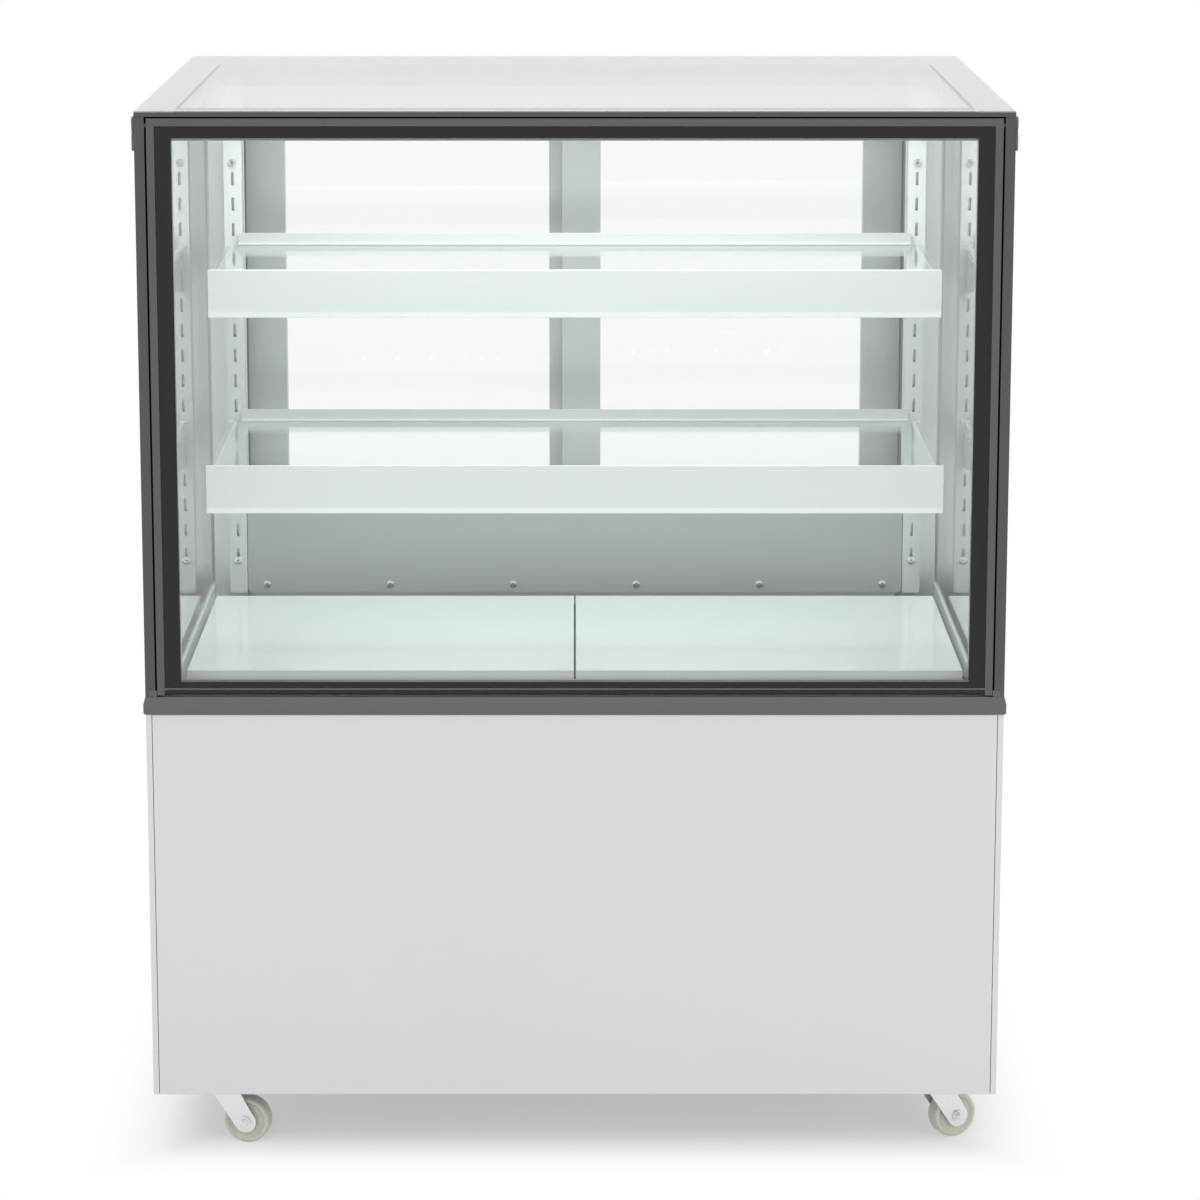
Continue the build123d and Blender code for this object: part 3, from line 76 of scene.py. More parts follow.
class Facing(Enum):
    """The way that a fastener or a mark looks out from its surface."""

    FRONT = (0.0, -1.0, 0.0)
    REAR = (0.0, 1.0, 0.0)
    DOWN = (0.0, 0.0, -1.0)

    def turn(self) -> Matrix:
        """The rotation that takes +Z to this direction."""
        return turn_up_to(Vector(self.value))


def turn_up_to(direction: Vector) -> Matrix:
    """The rotation that takes +Z to a direction."""
    return Vector((0.0, 0.0, 1.0)).rotation_difference(direction).to_matrix().to_4x4()


class Graph:
    """A node tree with short ways to add nodes and to join them."""

    def __init__(self, tree: bpy.types.NodeTree) -> None:
        """Empties the tree that it will fill.

        Args:
            tree: the node tree of a material, a world or a group.
        """
        tree.nodes.clear()
        self.tree = tree

    def add(
        self, kind: str, inputs: dict[str | int, object] | None = None, **settings: object
    ) -> bpy.types.Node:
        """Adds one node.

        Args:
            kind: the node's type name.
            inputs: values or output sockets for its inputs, by name or by number.
            **settings: properties of the node itself.

        Returns:
            The new node.
        """
        node = self.tree.nodes.new(kind)
        for name, value in settings.items():
            setattr(node, name, value)
        for name, value in (inputs or {}).items():
            socket = node.inputs[name]
            if isinstance(value, bpy.types.NodeSocket):
                self.tree.links.new(value, socket)
            else:
                socket.default_value = value
        return node

    def maths(self, operation: str, *values: object) -> bpy.types.NodeSocket:
        """The result of one arithmetic node on numbers or sockets."""
        node = self.add("ShaderNodeMath", dict(enumerate(values)), operation=operation)
        return node.outputs[0]

    def place(self, axis: Axis) -> bpy.types.NodeSocket:
        """One of the coordinates of the point on the surface, in metres."""
        coordinate = self.add("ShaderNodeTexCoord")
        parts = self.add("ShaderNodeSeparateXYZ", {0: coordinate.outputs["Object"]})
        return parts.outputs[axis.value]

    def blend(
        self, mask: bpy.types.NodeSocket, first: object, second: object
    ) -> bpy.types.NodeSocket:
        """The first colour where a mask is 0 and the second where it is 1."""
        node = self.add("ShaderNodeMix", {0: mask, 6: first, 7: second}, data_type="RGBA")
        return node.outputs[2]

    def scale(self, colour: object, shade: bpy.types.NodeSocket) -> bpy.types.NodeSocket:
        """A colour made lighter or darker by a shade near 1."""
        node = self.add("ShaderNodeVectorMath", {0: colour, "Scale": shade}, operation="SCALE")
        return node.outputs[0]

    def sees_white(self) -> bpy.types.NodeSocket:
        """A mask that is 1 for the camera's rays, for mirrored rays and for rays through glass."""
        rays = self.add("ShaderNodeLightPath")
        seen = self.maths("MAXIMUM", rays.outputs["Is Camera Ray"], rays.outputs["Is Glossy Ray"])
        return self.maths("MAXIMUM", seen, rays.outputs["Is Transmission Ray"])


class Effects:
    """The shader node groups that several finishes share, each built when it is first asked for."""

    def __init__(self) -> None:
        """Starts with no groups."""
        self.groups: dict[str, bpy.types.NodeTree] = {}

    def _group(
        self, name: str, inputs: dict[str, tuple[str, object]], outputs: dict[str, str]
    ) -> tuple[Graph, bpy.types.Node, bpy.types.Node]:
        """Makes an empty group with named sockets.

        Args:
            name: the group's name.
            inputs: socket kind and default value of each input.
            outputs: socket kind of each output.

        Returns:
            The group's graph, and its input and output nodes.
        """
        tree = bpy.data.node_groups.new(name, "ShaderNodeTree")
        for label, (kind, value) in inputs.items():
            socket = tree.interface.new_socket(label, in_out="INPUT", socket_type=kind)
            socket.default_value = value
        for label, kind in outputs.items():
            tree.interface.new_socket(label, in_out="OUTPUT", socket_type=kind)
        graph = Graph(tree)
        return graph, graph.add("NodeGroupInput"), graph.add("NodeGroupOutput")

    def grain(self) -> bpy.types.NodeTree:
        """Fine moulded or sprayed grain, and the slow unevenness under it."""
        if "grain" not in self.groups:
            graph, given, result = self._group(
                "Fine grain",
                {
                    "Scale": ("NodeSocketFloat", 900.0),
                    "Colour": ("NodeSocketColor", (0.5, 0.5, 0.5, 1.0)),
                    "Variation": ("NodeSocketFloat", 0.03),
                },
                {"Colour": "NodeSocketColor", "Height": "NodeSocketFloat"},
            )
            place = graph.add("ShaderNodeTexCoord").outputs["Object"]
            fine = graph.add(
                "ShaderNodeTexNoise",
                {"Vector": place, "Scale": given.outputs["Scale"], "Detail": 2.0},
            )
            slow = graph.add("ShaderNodeTexNoise", {"Vector": place, "Scale": 3.2, "Detail": 2.0})
            spread = graph.maths("SUBTRACT", slow.outputs["Fac"], 0.5)
            shade = graph.maths("MULTIPLY_ADD", spread, given.outputs["Variation"], 1.0)
            tinted = graph.scale(given.outputs["Colour"], shade)
            graph.tree.links.new(tinted, result.inputs["Colour"])
            graph.tree.links.new(fine.outputs["Fac"], result.inputs["Height"])
            self.groups["grain"] = graph.tree
        return self.groups["grain"]

    def drawn(self) -> bpy.types.NodeTree:
        """The long fine lines that drawing or brushing leaves on metal."""
        if "drawn" not in self.groups:
            graph, given, result = self._group(
                "Drawn lines",
                {
                    "Stretch": ("NodeSocketVector", (2.0, 900.0, 900.0)),
                    "Roughness": ("NodeSocketFloat", 0.3),
                    "Spread": ("NodeSocketFloat", 0.1),
                },
                {"Height": "NodeSocketFloat", "Roughness": "NodeSocketFloat"},
            )
            place = graph.add("ShaderNodeTexCoord").outputs["Object"]
            lines = graph.add(
                "ShaderNodeMapping", {"Vector": place, "Scale": given.outputs["Stretch"]}
            )
            noise = graph.add(
                "ShaderNodeTexNoise", {"Vector": lines.outputs[0], "Scale": 1.0, "Detail": 3.0}
            )
            centred = graph.maths("SUBTRACT", noise.outputs["Fac"], 0.5)
            rough = graph.maths(
                "MULTIPLY_ADD", centred, given.outputs["Spread"], given.outputs["Roughness"]
            )
            graph.tree.links.new(noise.outputs["Fac"], result.inputs["Height"])
            graph.tree.links.new(rough, result.inputs["Roughness"])
            self.groups["drawn"] = graph.tree
        return self.groups["drawn"]

    def band(self) -> bpy.types.NodeTree:
        """A mask that is 1 between two places along an axis, with soft ends."""
        if "band" not in self.groups:
            graph, given, result = self._group(
                "Band",
                {
                    "Place": ("NodeSocketFloat", 0.0),
                    "Low": ("NodeSocketFloat", 0.0),
                    "High": ("NodeSocketFloat", 1.0),
                    "Softness": ("NodeSocketFloat", 0.001),
                },
                {"Mask": "NodeSocketFloat"},
            )
            rise = graph.maths("SUBTRACT", given.outputs["Place"], given.outputs["Low"])
            fall = graph.maths("SUBTRACT", given.outputs["High"], given.outputs["Place"])
            nearest = graph.maths("MINIMUM", rise, fall)
            share = graph.maths("DIVIDE", nearest, given.outputs["Softness"])
            mask = graph.add("ShaderNodeMath", {0: share, 1: 0.5}, operation="ADD", use_clamp=True)
            graph.tree.links.new(mask.outputs[0], result.inputs["Mask"])
            self.groups["band"] = graph.tree
        return self.groups["band"]


EFFECTS = Effects()


def new_material(name: str) -> tuple[bpy.types.Material, Graph, bpy.types.Node, bpy.types.Node]:
    """Starts a material with one Principled shader.

    Args:
        name: the material's name.

    Returns:
        The material, its graph, its shader and its output node.
    """
    material = bpy.data.materials.new(name)
    material.use_nodes = True
    graph = Graph(material.node_tree)
    output = graph.add("ShaderNodeOutputMaterial")
    shader = graph.add("ShaderNodeBsdfPrincipled")
    graph.tree.links.new(shader.outputs[0], output.inputs["Surface"])
    return material, graph, shader, output


def add_grain(
    graph: Graph, colour: Colour, scale: float = 900.0, variation: float = 0.03
) -> bpy.types.Node:
    """Adds the shared grain to a material.

    Args:
        graph: the material's graph.
        colour: the finish's colour.
        scale: how many grains there are in a metre.
        variation: how much the shade wanders over the surface.

    Returns:
        The group's node, whose outputs are Colour and Height.
    """
    given = {"Colour": (*colour, 1.0), "Scale": scale, "Variation": variation}
    return graph.add("ShaderNodeGroup", given, node_tree=EFFECTS.grain())


def add_lines(graph: Graph, along: Axis, roughness: float, spread: float) -> bpy.types.Node:
    """Adds the shared drawn lines to a material.

    Args:
        graph: the material's graph.
        along: the axis that the lines follow.
        roughness: mean roughness.
        spread: how far the roughness wanders from line to line.

    Returns:
        The group's node, whose outputs are Height and Roughness.
    """
    stretch = [LINES_ACROSS] * 3
    stretch[along.value] = LINES_ALONG
    given = {"Stretch": stretch, "Roughness": roughness, "Spread": spread}
    return graph.add("ShaderNodeGroup", given, node_tree=EFFECTS.drawn())


def add_band(
    graph: Graph, place: bpy.types.NodeSocket, low: float, high: float, softness: float = MASK_EDGE
) -> bpy.types.NodeSocket:
    """Adds the shared mask of the points between two places.

    Args:
        graph: the material's graph.
        place: the coordinate that is compared.
        low: where the band starts.
        high: where it ends.
        softness: width of its soft ends in metres.

    Returns:
        The mask.
    """
    given = {"Place": place, "Low": low, "High": high, "Softness": softness}
    return graph.add("ShaderNodeGroup", given, node_tree=EFFECTS.band()).outputs[0]


def add_bump(
    graph: Graph, shader: bpy.types.Node, height: bpy.types.NodeSocket, depth: float
) -> None:
    """Feeds a height into the shader's normal.

    Args:
        graph: the material's graph.
        shader: its Principled shader.
        height: the height, from 0 to 1.
        depth: the depth in metres that 1 stands for.
    """
    bump = graph.add("ShaderNodeBump", {"Height": height, "Distance": depth, "Strength": 1.0})
    graph.tree.links.new(bump.outputs[0], shader.inputs["Normal"])


@dataclass(frozen=True)
class Coating:
    """Sprayed paint or a moulded plastic surface.

    Attributes:
        name: the material's name.
        colour: its colour.
        roughness: the shader's roughness.
        grain: how many grains there are in a metre.
        depth: depth of the grain in metres.
        variation: how much the shade wanders over the surface.
        coat: weight of a clear coat.
    """

    name: str
    colour: Colour
    roughness: float = 0.4
    grain: float = 900.0
    depth: float = 0.00002
    variation: float = 0.03
    coat: float = 0.0

    def build(self) -> bpy.types.Material:
        """Makes the material."""
        material, graph, shader, _ = new_material(self.name)
        grain = add_grain(graph, self.colour, self.grain, self.variation)
        graph.tree.links.new(grain.outputs["Colour"], shader.inputs["Base Color"])
        shader.inputs["Roughness"].default_value = self.roughness
        shader.inputs["Coat Weight"].default_value = self.coat
        add_bump(graph, shader, grain.outputs["Height"], self.depth)
        return material


@dataclass(frozen=True)
class DrawnMetal:
    """Extruded, drawn or brushed metal with lines along one axis.

    Attributes:
        name: the material's name.
        colour: its colour.
        along: the axis that the lines follow.
        roughness: mean roughness.
        spread: how far the roughness wanders from line to line.
        depth: depth of the lines in metres.
        metallic: 1 for bare metal, less under a dyed or painted film.
    """

    name: str
    colour: Colour
    along: Axis = Axis.X
    roughness: float = 0.3
    spread: float = 0.12
    depth: float = 0.00001
    metallic: float = 1.0

    def build(self) -> bpy.types.Material:
        """Makes the material."""
        material, graph, shader, _ = new_material(self.name)
        lines = add_lines(graph, self.along, self.roughness, self.spread)
        shade = graph.maths("MULTIPLY_ADD", lines.outputs["Height"], 0.2, 0.9)
        graph.tree.links.new(graph.scale(self.colour, shade), shader.inputs["Base Color"])
        graph.tree.links.new(lines.outputs["Roughness"], shader.inputs["Roughness"])
        shader.inputs["Metallic"].default_value = self.metallic
        add_bump(graph, shader, lines.outputs["Height"], self.depth)
        return material


@dataclass(frozen=True)
class LinedFrame:
    """Dark anodised extrusion whose faces towards the display are a pale liner.

    Attributes:
        name: the material's name.
        outside: colour of the anodised faces.
        inside: colour of the liner.
        half_width: distance of the liner's face from the middle of the case.
        ledge: distance that the liner reaches to on the bottom rail, and the rail's height.
        rear: how far back the liner goes.
        roughness: mean roughness of the anodised faces.
    """

    name: str
    outside: Colour
    inside: Colour
    half_width: float
    ledge: tuple[float, float]
    rear: float
    roughness: float = 0.32

    def _below(
        self, graph: Graph, place: bpy.types.NodeSocket, limit: float
    ) -> bpy.types.NodeSocket:
        """A mask of the points whose place is less than a limit."""
        return add_band(graph, place, -2.0, limit)

    def build(self) -> bpy.types.Material:
        """Makes the material."""
        material, graph, shader, _ = new_material(self.name)
        lines = add_lines(graph, Axis.Z, self.roughness, 0.1)
        across = graph.maths("ABSOLUTE", graph.place(Axis.X))
        inward = self._below(graph, across, self.ledge[0])
        low = self._below(graph, graph.place(Axis.Z), self.ledge[1])
        ledge = graph.maths("MULTIPLY", inward, low)
        near = graph.maths("MAXIMUM", self._below(graph, across, self.half_width), ledge)
        mask = graph.maths("MULTIPLY", near, self._below(graph, graph.place(Axis.Y), self.rear))
        tone = graph.blend(mask, (*self.outside, 1.0), (*self.inside, 1.0))
        graph.tree.links.new(tone, shader.inputs["Base Color"])
        graph.tree.links.new(graph.maths("SUBTRACT", 1.0, mask), shader.inputs["Metallic"])
        graph.tree.links.new(lines.outputs["Roughness"], shader.inputs["Roughness"])
        add_bump(graph, shader, lines.outputs["Height"], 0.00001)
        return material


@dataclass(frozen=True)
class SocketPlastic:
    """Black moulding whose pins, at the places that are given, are nickel plated.

    Attributes:
        name: the material's name.
        colour: colour of the moulding.
        pins: places of the pins across and up, in metres.
        reach: half the width and half the height of a pin.
        depth: nearest and farthest place of the pins from front to rear.
        plating: colour of the plated pins.
    """

    name: str
    colour: Colour
    pins: tuple[tuple[float, float], ...]
    reach: tuple[float, float]
    depth: tuple[float, float]
    plating: Colour = (0.78, 0.76, 0.70)

    def build(self) -> bpy.types.Material:
        """Makes the material."""
        material, graph, shader, _ = new_material(self.name)
        grain = add_grain(graph, self.colour, 1500.0)
        across, back, up = (graph.place(axis) for axis in Axis)
        found: object = 0.0
        for x, z in self.pins:
            column = add_band(graph, across, x - self.reach[0], x + self.reach[0])
            row = add_band(graph, up, z - self.reach[1], z + self.reach[1])
            found = graph.maths("MAXIMUM", found, graph.maths("MULTIPLY", column, row))
        mask = graph.maths("MULTIPLY", found, add_band(graph, back, *self.depth))
        tone = graph.blend(mask, grain.outputs["Colour"], (*self.plating, 1.0))
        graph.tree.links.new(tone, shader.inputs["Base Color"])
        graph.tree.links.new(mask, shader.inputs["Metallic"])
        shader.inputs["Roughness"].default_value = 0.36
        return material


@dataclass(frozen=True)
class ZincSheet:
    """Galvanised or plated steel, with crystals of the size that is given.

    Attributes:
        name: the material's name.
        colour: its colour.
        crystals: how many crystals there are in a metre.
        contrast: how much the crystals differ in shade.
        roughness: mean roughness.
    """

    name: str
    colour: Colour
    crystals: float = 120.0
    contrast: float = 0.25
    roughness: float = 0.35

    def build(self) -> bpy.types.Material:
        """Makes the material."""
        material, graph, shader, _ = new_material(self.name)
        place = graph.add("ShaderNodeTexCoord").outputs["Object"]
        cells = graph.add("ShaderNodeTexVoronoi", {"Vector": place, "Scale": self.crystals})
        grey = graph.add("ShaderNodeRGBToBW", {0: cells.outputs["Color"]})
        shade = graph.maths("MULTIPLY_ADD", grey.outputs[0], self.contrast, 1.0 - self.contrast / 2)
        rough = graph.maths("MULTIPLY_ADD", grey.outputs[0], 0.15, self.roughness - 0.07)
        graph.tree.links.new(graph.scale(self.colour, shade), shader.inputs["Base Color"])
        graph.tree.links.new(rough, shader.inputs["Roughness"])
        shader.inputs["Metallic"].default_value = 1.0
        return material


@dataclass(frozen=True)
class ClearGlass:
    """Float glass or clear plastic that lets light through to what is behind it.

    Attributes:
        name: the material's name.
        tint: colour of the light that comes through.
        shadow: how much light its shadow lets through, by colour.
        roughness: the shader's roughness.
    """

    name: str
    tint: Colour
    shadow: Colour = (0.93, 0.95, 0.94)
    roughness: float = 0.0

    def build(self) -> bpy.types.Material:
        """Makes the material."""
        material, graph, shader, output = new_material(self.name)
        shader.inputs["Base Color"].default_value = (*self.tint, 1.0)
        shader.inputs["Roughness"].default_value = self.roughness
        shader.inputs["IOR"].default_value = 1.45
        shader.inputs["Transmission Weight"].default_value = 1.0
        clear = graph.add("ShaderNodeBsdfTransparent", {"Color": (*self.shadow, 1.0)})
        rays = graph.add("ShaderNodeLightPath")
        mixed = graph.add(
            "ShaderNodeMixShader",
            {0: rays.outputs["Is Shadow Ray"], 1: shader.outputs[0], 2: clear.outputs[0]},
        )
        graph.tree.links.new(mixed.outputs[0], output.inputs["Surface"])
        return material


@dataclass(frozen=True)
class LitPlastic:
    """Opal plastic that glows evenly.

    Attributes:
        name: the material's name.
        colour: its colour.
        strength: strength of its light, where 1 is white.
        roughness: the shader's roughness.
    """

    name: str
    colour: Colour
    strength: float
    roughness: float = 0.3

    def build(self) -> bpy.types.Material:
        """Makes the material."""
        material, graph, shader, _ = new_material(self.name)
        grain = add_grain(graph, self.colour)
        graph.tree.links.new(grain.outputs["Colour"], shader.inputs["Base Color"])
        shader.inputs["Emission Color"].default_value = (*self.colour, 1.0)
        shader.inputs["Emission Strength"].default_value = self.strength
        shader.inputs["Roughness"].default_value = self.roughness
        return material


@dataclass(frozen=True)
class FrostedRail:
    """Frosted shelf edging: a brighter lower strip that is painted light from the shelf lamps, the
    frosted face above it, and a painted glow over the whole rail.

    Attributes:
        name: the material's name.
        colour: colour of the frosted face.
        strip: colour of the lower strip, which is painted light.
        painted_light_strip_levels: top of the painted light strip on each shelf.
        strip_height: height of the painted light strip.
        stop: colour of the low stop at the rear of the shelf.
        strip_edge: width of the strip's soft edge.
        glow: strength of a painted glow over the whole rail and its rear stop, which stands in for
            the light of the lamps behind it.
    """

    name: str
    colour: Colour
    strip: Colour
    painted_light_strip_levels: tuple[float, float]
    strip_height: float
    stop: Colour
    strip_edge: float = 0.0008
    glow: float = 0.36

    def build(self) -> bpy.types.Material:
        """Makes the material."""
        material, graph, shader, _ = new_material(self.name)
        grain = add_grain(graph, self.colour, 1600.0)
        height = graph.place(Axis.Z)
        # Painted light: a brighter strip along the foot of each shelf's rail.
        painted_light_strips = [
            add_band(graph, height, level - self.strip_height, level, self.strip_edge)
            for level in self.painted_light_strip_levels
        ]
        strip = graph.maths("MAXIMUM", *painted_light_strips)
        face = graph.blend(strip, grain.outputs["Colour"], (*self.strip, 1.0))
        rear = add_band(graph, graph.place(Axis.Y), 0.0, 1.0, 0.001)
        tone = graph.blend(rear, face, (*self.stop, 1.0))
        graph.tree.links.new(tone, shader.inputs["Base Color"])
        # Painted glow: the rail's colours, the rear stop's too, are given again as emission.
        graph.tree.links.new(tone, shader.inputs["Emission Color"])
        shader.inputs["Emission Strength"].default_value = self.glow
        shader.inputs["Roughness"].default_value = 0.28
        add_bump(graph, shader, grain.outputs["Height"], 0.000015)
        return material


def new_piece(
    name: str, shape: bmesh.types.BMesh, material: bpy.types.Material
) -> bpy.types.Object:
    """Turns a finished bmesh into an object of the scene.

    Args:
        name: the object's name.
        shape: its bmesh, in place, which is freed.
        material: its finish.

    Returns:
        The new object.
    """
    mesh = bpy.data.meshes.new(name)
    shape.to_mesh(mesh)
    shape.free()
    mesh.materials.append(material)
    piece = bpy.data.objects.new(name, mesh)
    bpy.context.scene.collection.objects.link(piece)
    return piece


def round_edges(
    shape: bmesh.types.BMesh, edges: list[bmesh.types.BMEdge], radius: float, segments: int = 2
) -> None:
    """Rounds some edges of a shape.

    Args:
        shape: the bmesh.
        edges: its edges to round.
        radius: their radius in metres.
        segments: faces round each edge.
    """
    bmesh.ops.bevel(
        shape,
        geom=edges,
        offset=radius,
        offset_type="OFFSET",
        affect="EDGES",
        segments=segments,
        profile=0.5,
        material=-1,
        clamp_overlap=True,
    )


class Workshop:
    """Makes pieces from bmesh shapes, dresses CAD nodes, and notes which nodes are done."""

    def __init__(self, nodes: dict[str, bpy.types.Object]) -> None:
        """Takes the CAD nodes of the frame.

        Args:
            nodes: the CAD node objects by name.
        """
        self.nodes = nodes
        self.dressed: set[str] = set()
        subparts = FRAME["record"]["subparts"]
        self.slots = {entry["node"]: entry["material_slot"] for entry in subparts}
        bodies = FRAME["record"]["behaviour"]["bodies"]
        self.bodies = {node: body for body, members in bodies.items() for node in members}

    def dress(self, material: bpy.types.Material, *names: str) -> None:
        """Gives CAD nodes their finish.

        Args:
            material: the finish.
            *names: the nodes.
        """
        for name in names:
            mesh = self.nodes[name].data
            mesh.materials.clear()
            mesh.materials.append(material)
            self.dressed.add(name)
            log.info("dressed %s with %s", name, material.name)

    def add(
        self, name: str, shape: bmesh.types.BMesh, material: bpy.types.Material, like: str
    ) -> bpy.types.Object:
        """Turns a finished bmesh into a piece that rides with a CAD node's body.

        Args:
            name: the piece's name.
            shape: its bmesh, in place, which is freed.
            material: its finish.
            like: the CAD node whose body it takes.

        Returns:
            The new object.
        """
        piece = new_piece(name, shape, material)
        piece.data.shade_smooth()
        piece.data.set_sharp_from_angle(angle=SMOOTH_ANGLE)
        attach(piece, self.bodies[like])
        log.info("made %s with %d faces", name, len(piece.data.polygons))
        return piece

    def soften(
        self, material: bpy.types.Material, radius: float, *names: str, segments: int = 2
    ) -> None:
        """Replaces CAD nodes by copies whose hard edges are rounded.

        Args:
            material: the finish.
            radius: radius of the edges in metres.
            *names: the nodes.
            segments: faces round each edge.
        """
        for name in names:
            shape = bmesh.new()
            shape.from_mesh(self.nodes[name].data)
            bmesh.ops.remove_doubles(shape, verts=shape.verts, dist=MERGE_DISTANCE)
            bmesh.ops.dissolve_limit(
                shape, angle_limit=FLAT_ANGLE, verts=shape.verts, edges=shape.edges
            )
            hard = [
                edge
                for edge in shape.edges
                if edge.is_manifold and edge.calc_face_angle(0.0) > HARD_ANGLE
            ]
            round_edges(shape, hard, radius, segments)
            copy = self.add(f"{name}_soft", shape, material, name)
            copy.modifiers.new("flat faces", "WEIGHTED_NORMAL").keep_sharp = True
            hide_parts(name)
            self.dressed.add(name)


def add_block(shape: bmesh.types.BMesh, low: Point, high: Point, radius: float = 0.0) -> None:
    """Adds a straight block, with rounded edges where a radius is given.

    Args:
        shape: the bmesh that it joins.
        low: its lowest corner.
        high: its highest corner.
        radius: radius of its edges.
    """
    size = Vector(high) - Vector(low)
    middle = (Vector(high) + Vector(low)) / 2
    place = Matrix.Translation(middle) @ Matrix.Diagonal((*size, 1.0))
    made = bmesh.ops.create_cube(shape, size=1.0, matrix=place)
    if radius:
        edges = dict.fromkeys(edge for vert in made["verts"] for edge in vert.link_edges)
        round_edges(shape, list(edges), radius)


def add_turned(
    shape: bmesh.types.BMesh, profile: list[tuple[float, float]], place: Matrix, steps: int
) -> None:
    """Adds a turned shape from a line of radius and height pairs.

    Args:
        shape: the bmesh that it joins.
        profile: radius and height of each point of the line, from the axis to the axis.
        place: where its base centre and its axis go.
        steps: faces round the axis.
    """
    part = bmesh.new()
    points = [part.verts.new((radius, 0.0, height)) for radius, height in profile]
    edges = [part.edges.new(pair) for pair in zip(points, points[1:])]
    bmesh.ops.spin(
        part,
        geom=points + edges,
        axis=(0.0, 0.0, 1.0),
        cent=(0.0, 0.0, 0.0),
        dvec=(0.0, 0.0, 0.0),
        angle=math.tau,
        steps=steps,
        use_merge=True,
    )
    bmesh.ops.remove_doubles(part, verts=part.verts, dist=MERGE_DISTANCE)
    bmesh.ops.recalc_face_normals(part, faces=part.faces)
    join(shape, part, place)


def join(shape: bmesh.types.BMesh, part: bmesh.types.BMesh, place: Matrix) -> None:
    """Moves a finished part to its place and adds it to a shape.

    Args:
        shape: the bmesh that it joins.
        part: the part, which is freed.
        place: its place.
    """
    bmesh.ops.transform(part, matrix=place, verts=part.verts)
    mesh = bpy.data.meshes.new("part")
    part.to_mesh(mesh)
    part.free()
    shape.from_mesh(mesh)
    bpy.data.meshes.remove(mesh)


def add_screw(
    shape: bmesh.types.BMesh, at: Point, facing: Facing, radius: float = 0.0038
) -> None:
    """Adds a pan-head screw with a four-point recess.

    Args:
        shape: the bmesh that it joins.
        at: centre of the surface that it sits on.
        facing: the way that its head looks.
        radius: radius of its head.
    """
    head = bmesh.new()
    bmesh.ops.create_circle(head, cap_ends=True, segments=SCREW_SIDES, radius=radius)
    face = head.faces[:]
    height = radius * SCREW_HEIGHT
    for step, (share, rise) in enumerate(SCREW_RINGS):
        grown = bmesh.ops.extrude_face_region(head, geom=face)["geom"]
        ring = [item for item in grown if isinstance(item, bmesh.types.BMVert)]
        if step == 0:
            bmesh.ops.delete(head, geom=face, context="FACES_ONLY")
        face = [item for item in grown if isinstance(item, bmesh.types.BMFace)]
        for vert in ring:
            flat = Vector((vert.co.x, vert.co.y, 0.0)).normalized() * radius * share
            vert.co = Vector((flat.x, flat.y, height * rise))
    rim = bmesh.ops.inset_individual(head, faces=face, thickness=radius * SCREW_RIM)["faces"]
    recess = [
        item for item in head.faces if len(item.verts) == SCREW_SIDES and item not in rim
    ]
    for depth in RECESS_DEPTHS:
        grown = bmesh.ops.extrude_face_region(head, geom=recess)["geom"]
        lip = [item for item in grown if isinstance(item, bmesh.types.BMVert)]
        bmesh.ops.delete(head, geom=recess, context="FACES_ONLY")
        recess = [item for item in grown if isinstance(item, bmesh.types.BMFace)]
        for vert in lip:
            angle = math.atan2(vert.co.y, vert.co.x)
            reach = radius * (RECESS_WAIST + RECESS_ARM * abs(math.cos(2 * angle)) ** 6)
            level = height * (1 - depth)
            vert.co = Vector((math.cos(angle) * reach, math.sin(angle) * reach, level))
    bmesh.ops.recalc_face_normals(head, faces=head.faces)
    join(shape, head, Matrix.Translation(Vector(at)) @ facing.turn())


@dataclass
class Base:
    """The sheet metal base: panels, chassis, grille, fascia and the belt above them."""

    shop: Workshop
    screw_inset: float = 0.020
    fascia_edge: float = 0.0007
    trim_edge: float = 0.0012

    def dress(self) -> None:
        """Finishes the panels and the structure behind them."""
        paint = Coating(
            "Pale grey paint", (0.725, 0.725, 0.729), 0.34, 1100.0, 0.000012, 0.03, 0.15
        ).build()
        trim = Coating(
            "Dark satin moulding", (0.115, 0.115, 0.12), 0.42, 1400.0, 0.00002, 0.06
        ).build()
        zinc = ZincSheet("Galvanised sheet", (0.56, 0.57, 0.58), 110.0).build()
        self.shop.dress(paint, "front_panel", "side_panel_left", "side_panel_right", "rear_grille")
        self.shop.soften(paint, self.fascia_edge, "control_fascia")
        self.shop.soften(trim, self.trim_edge, "belt_trim", segments=3)
        self.shop.dress(zinc, "chassis", "condenser_shroud")
        self._screws(zinc)

    def _screws(self, zinc: bpy.types.Material) -> None:
        """Adds the screws that hold the rear grille and the fascia."""
        screws = bmesh.new()
        for panel, rows in (("rear_grille", 3), ("control_fascia", 2)):
            low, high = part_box(panel)
            foot, head = low.z + self.screw_inset, high.z - self.screw_inset
            for x in (low.x + self.screw_inset, high.x - self.screw_inset):
                for row in range(rows):
                    z = foot + (head - foot) * row / (rows - 1)
                    add_screw(screws, (x, high.y, z), Facing.REAR)
        self.shop.add("rear_panel_screws", screws, zinc, "rear_grille")


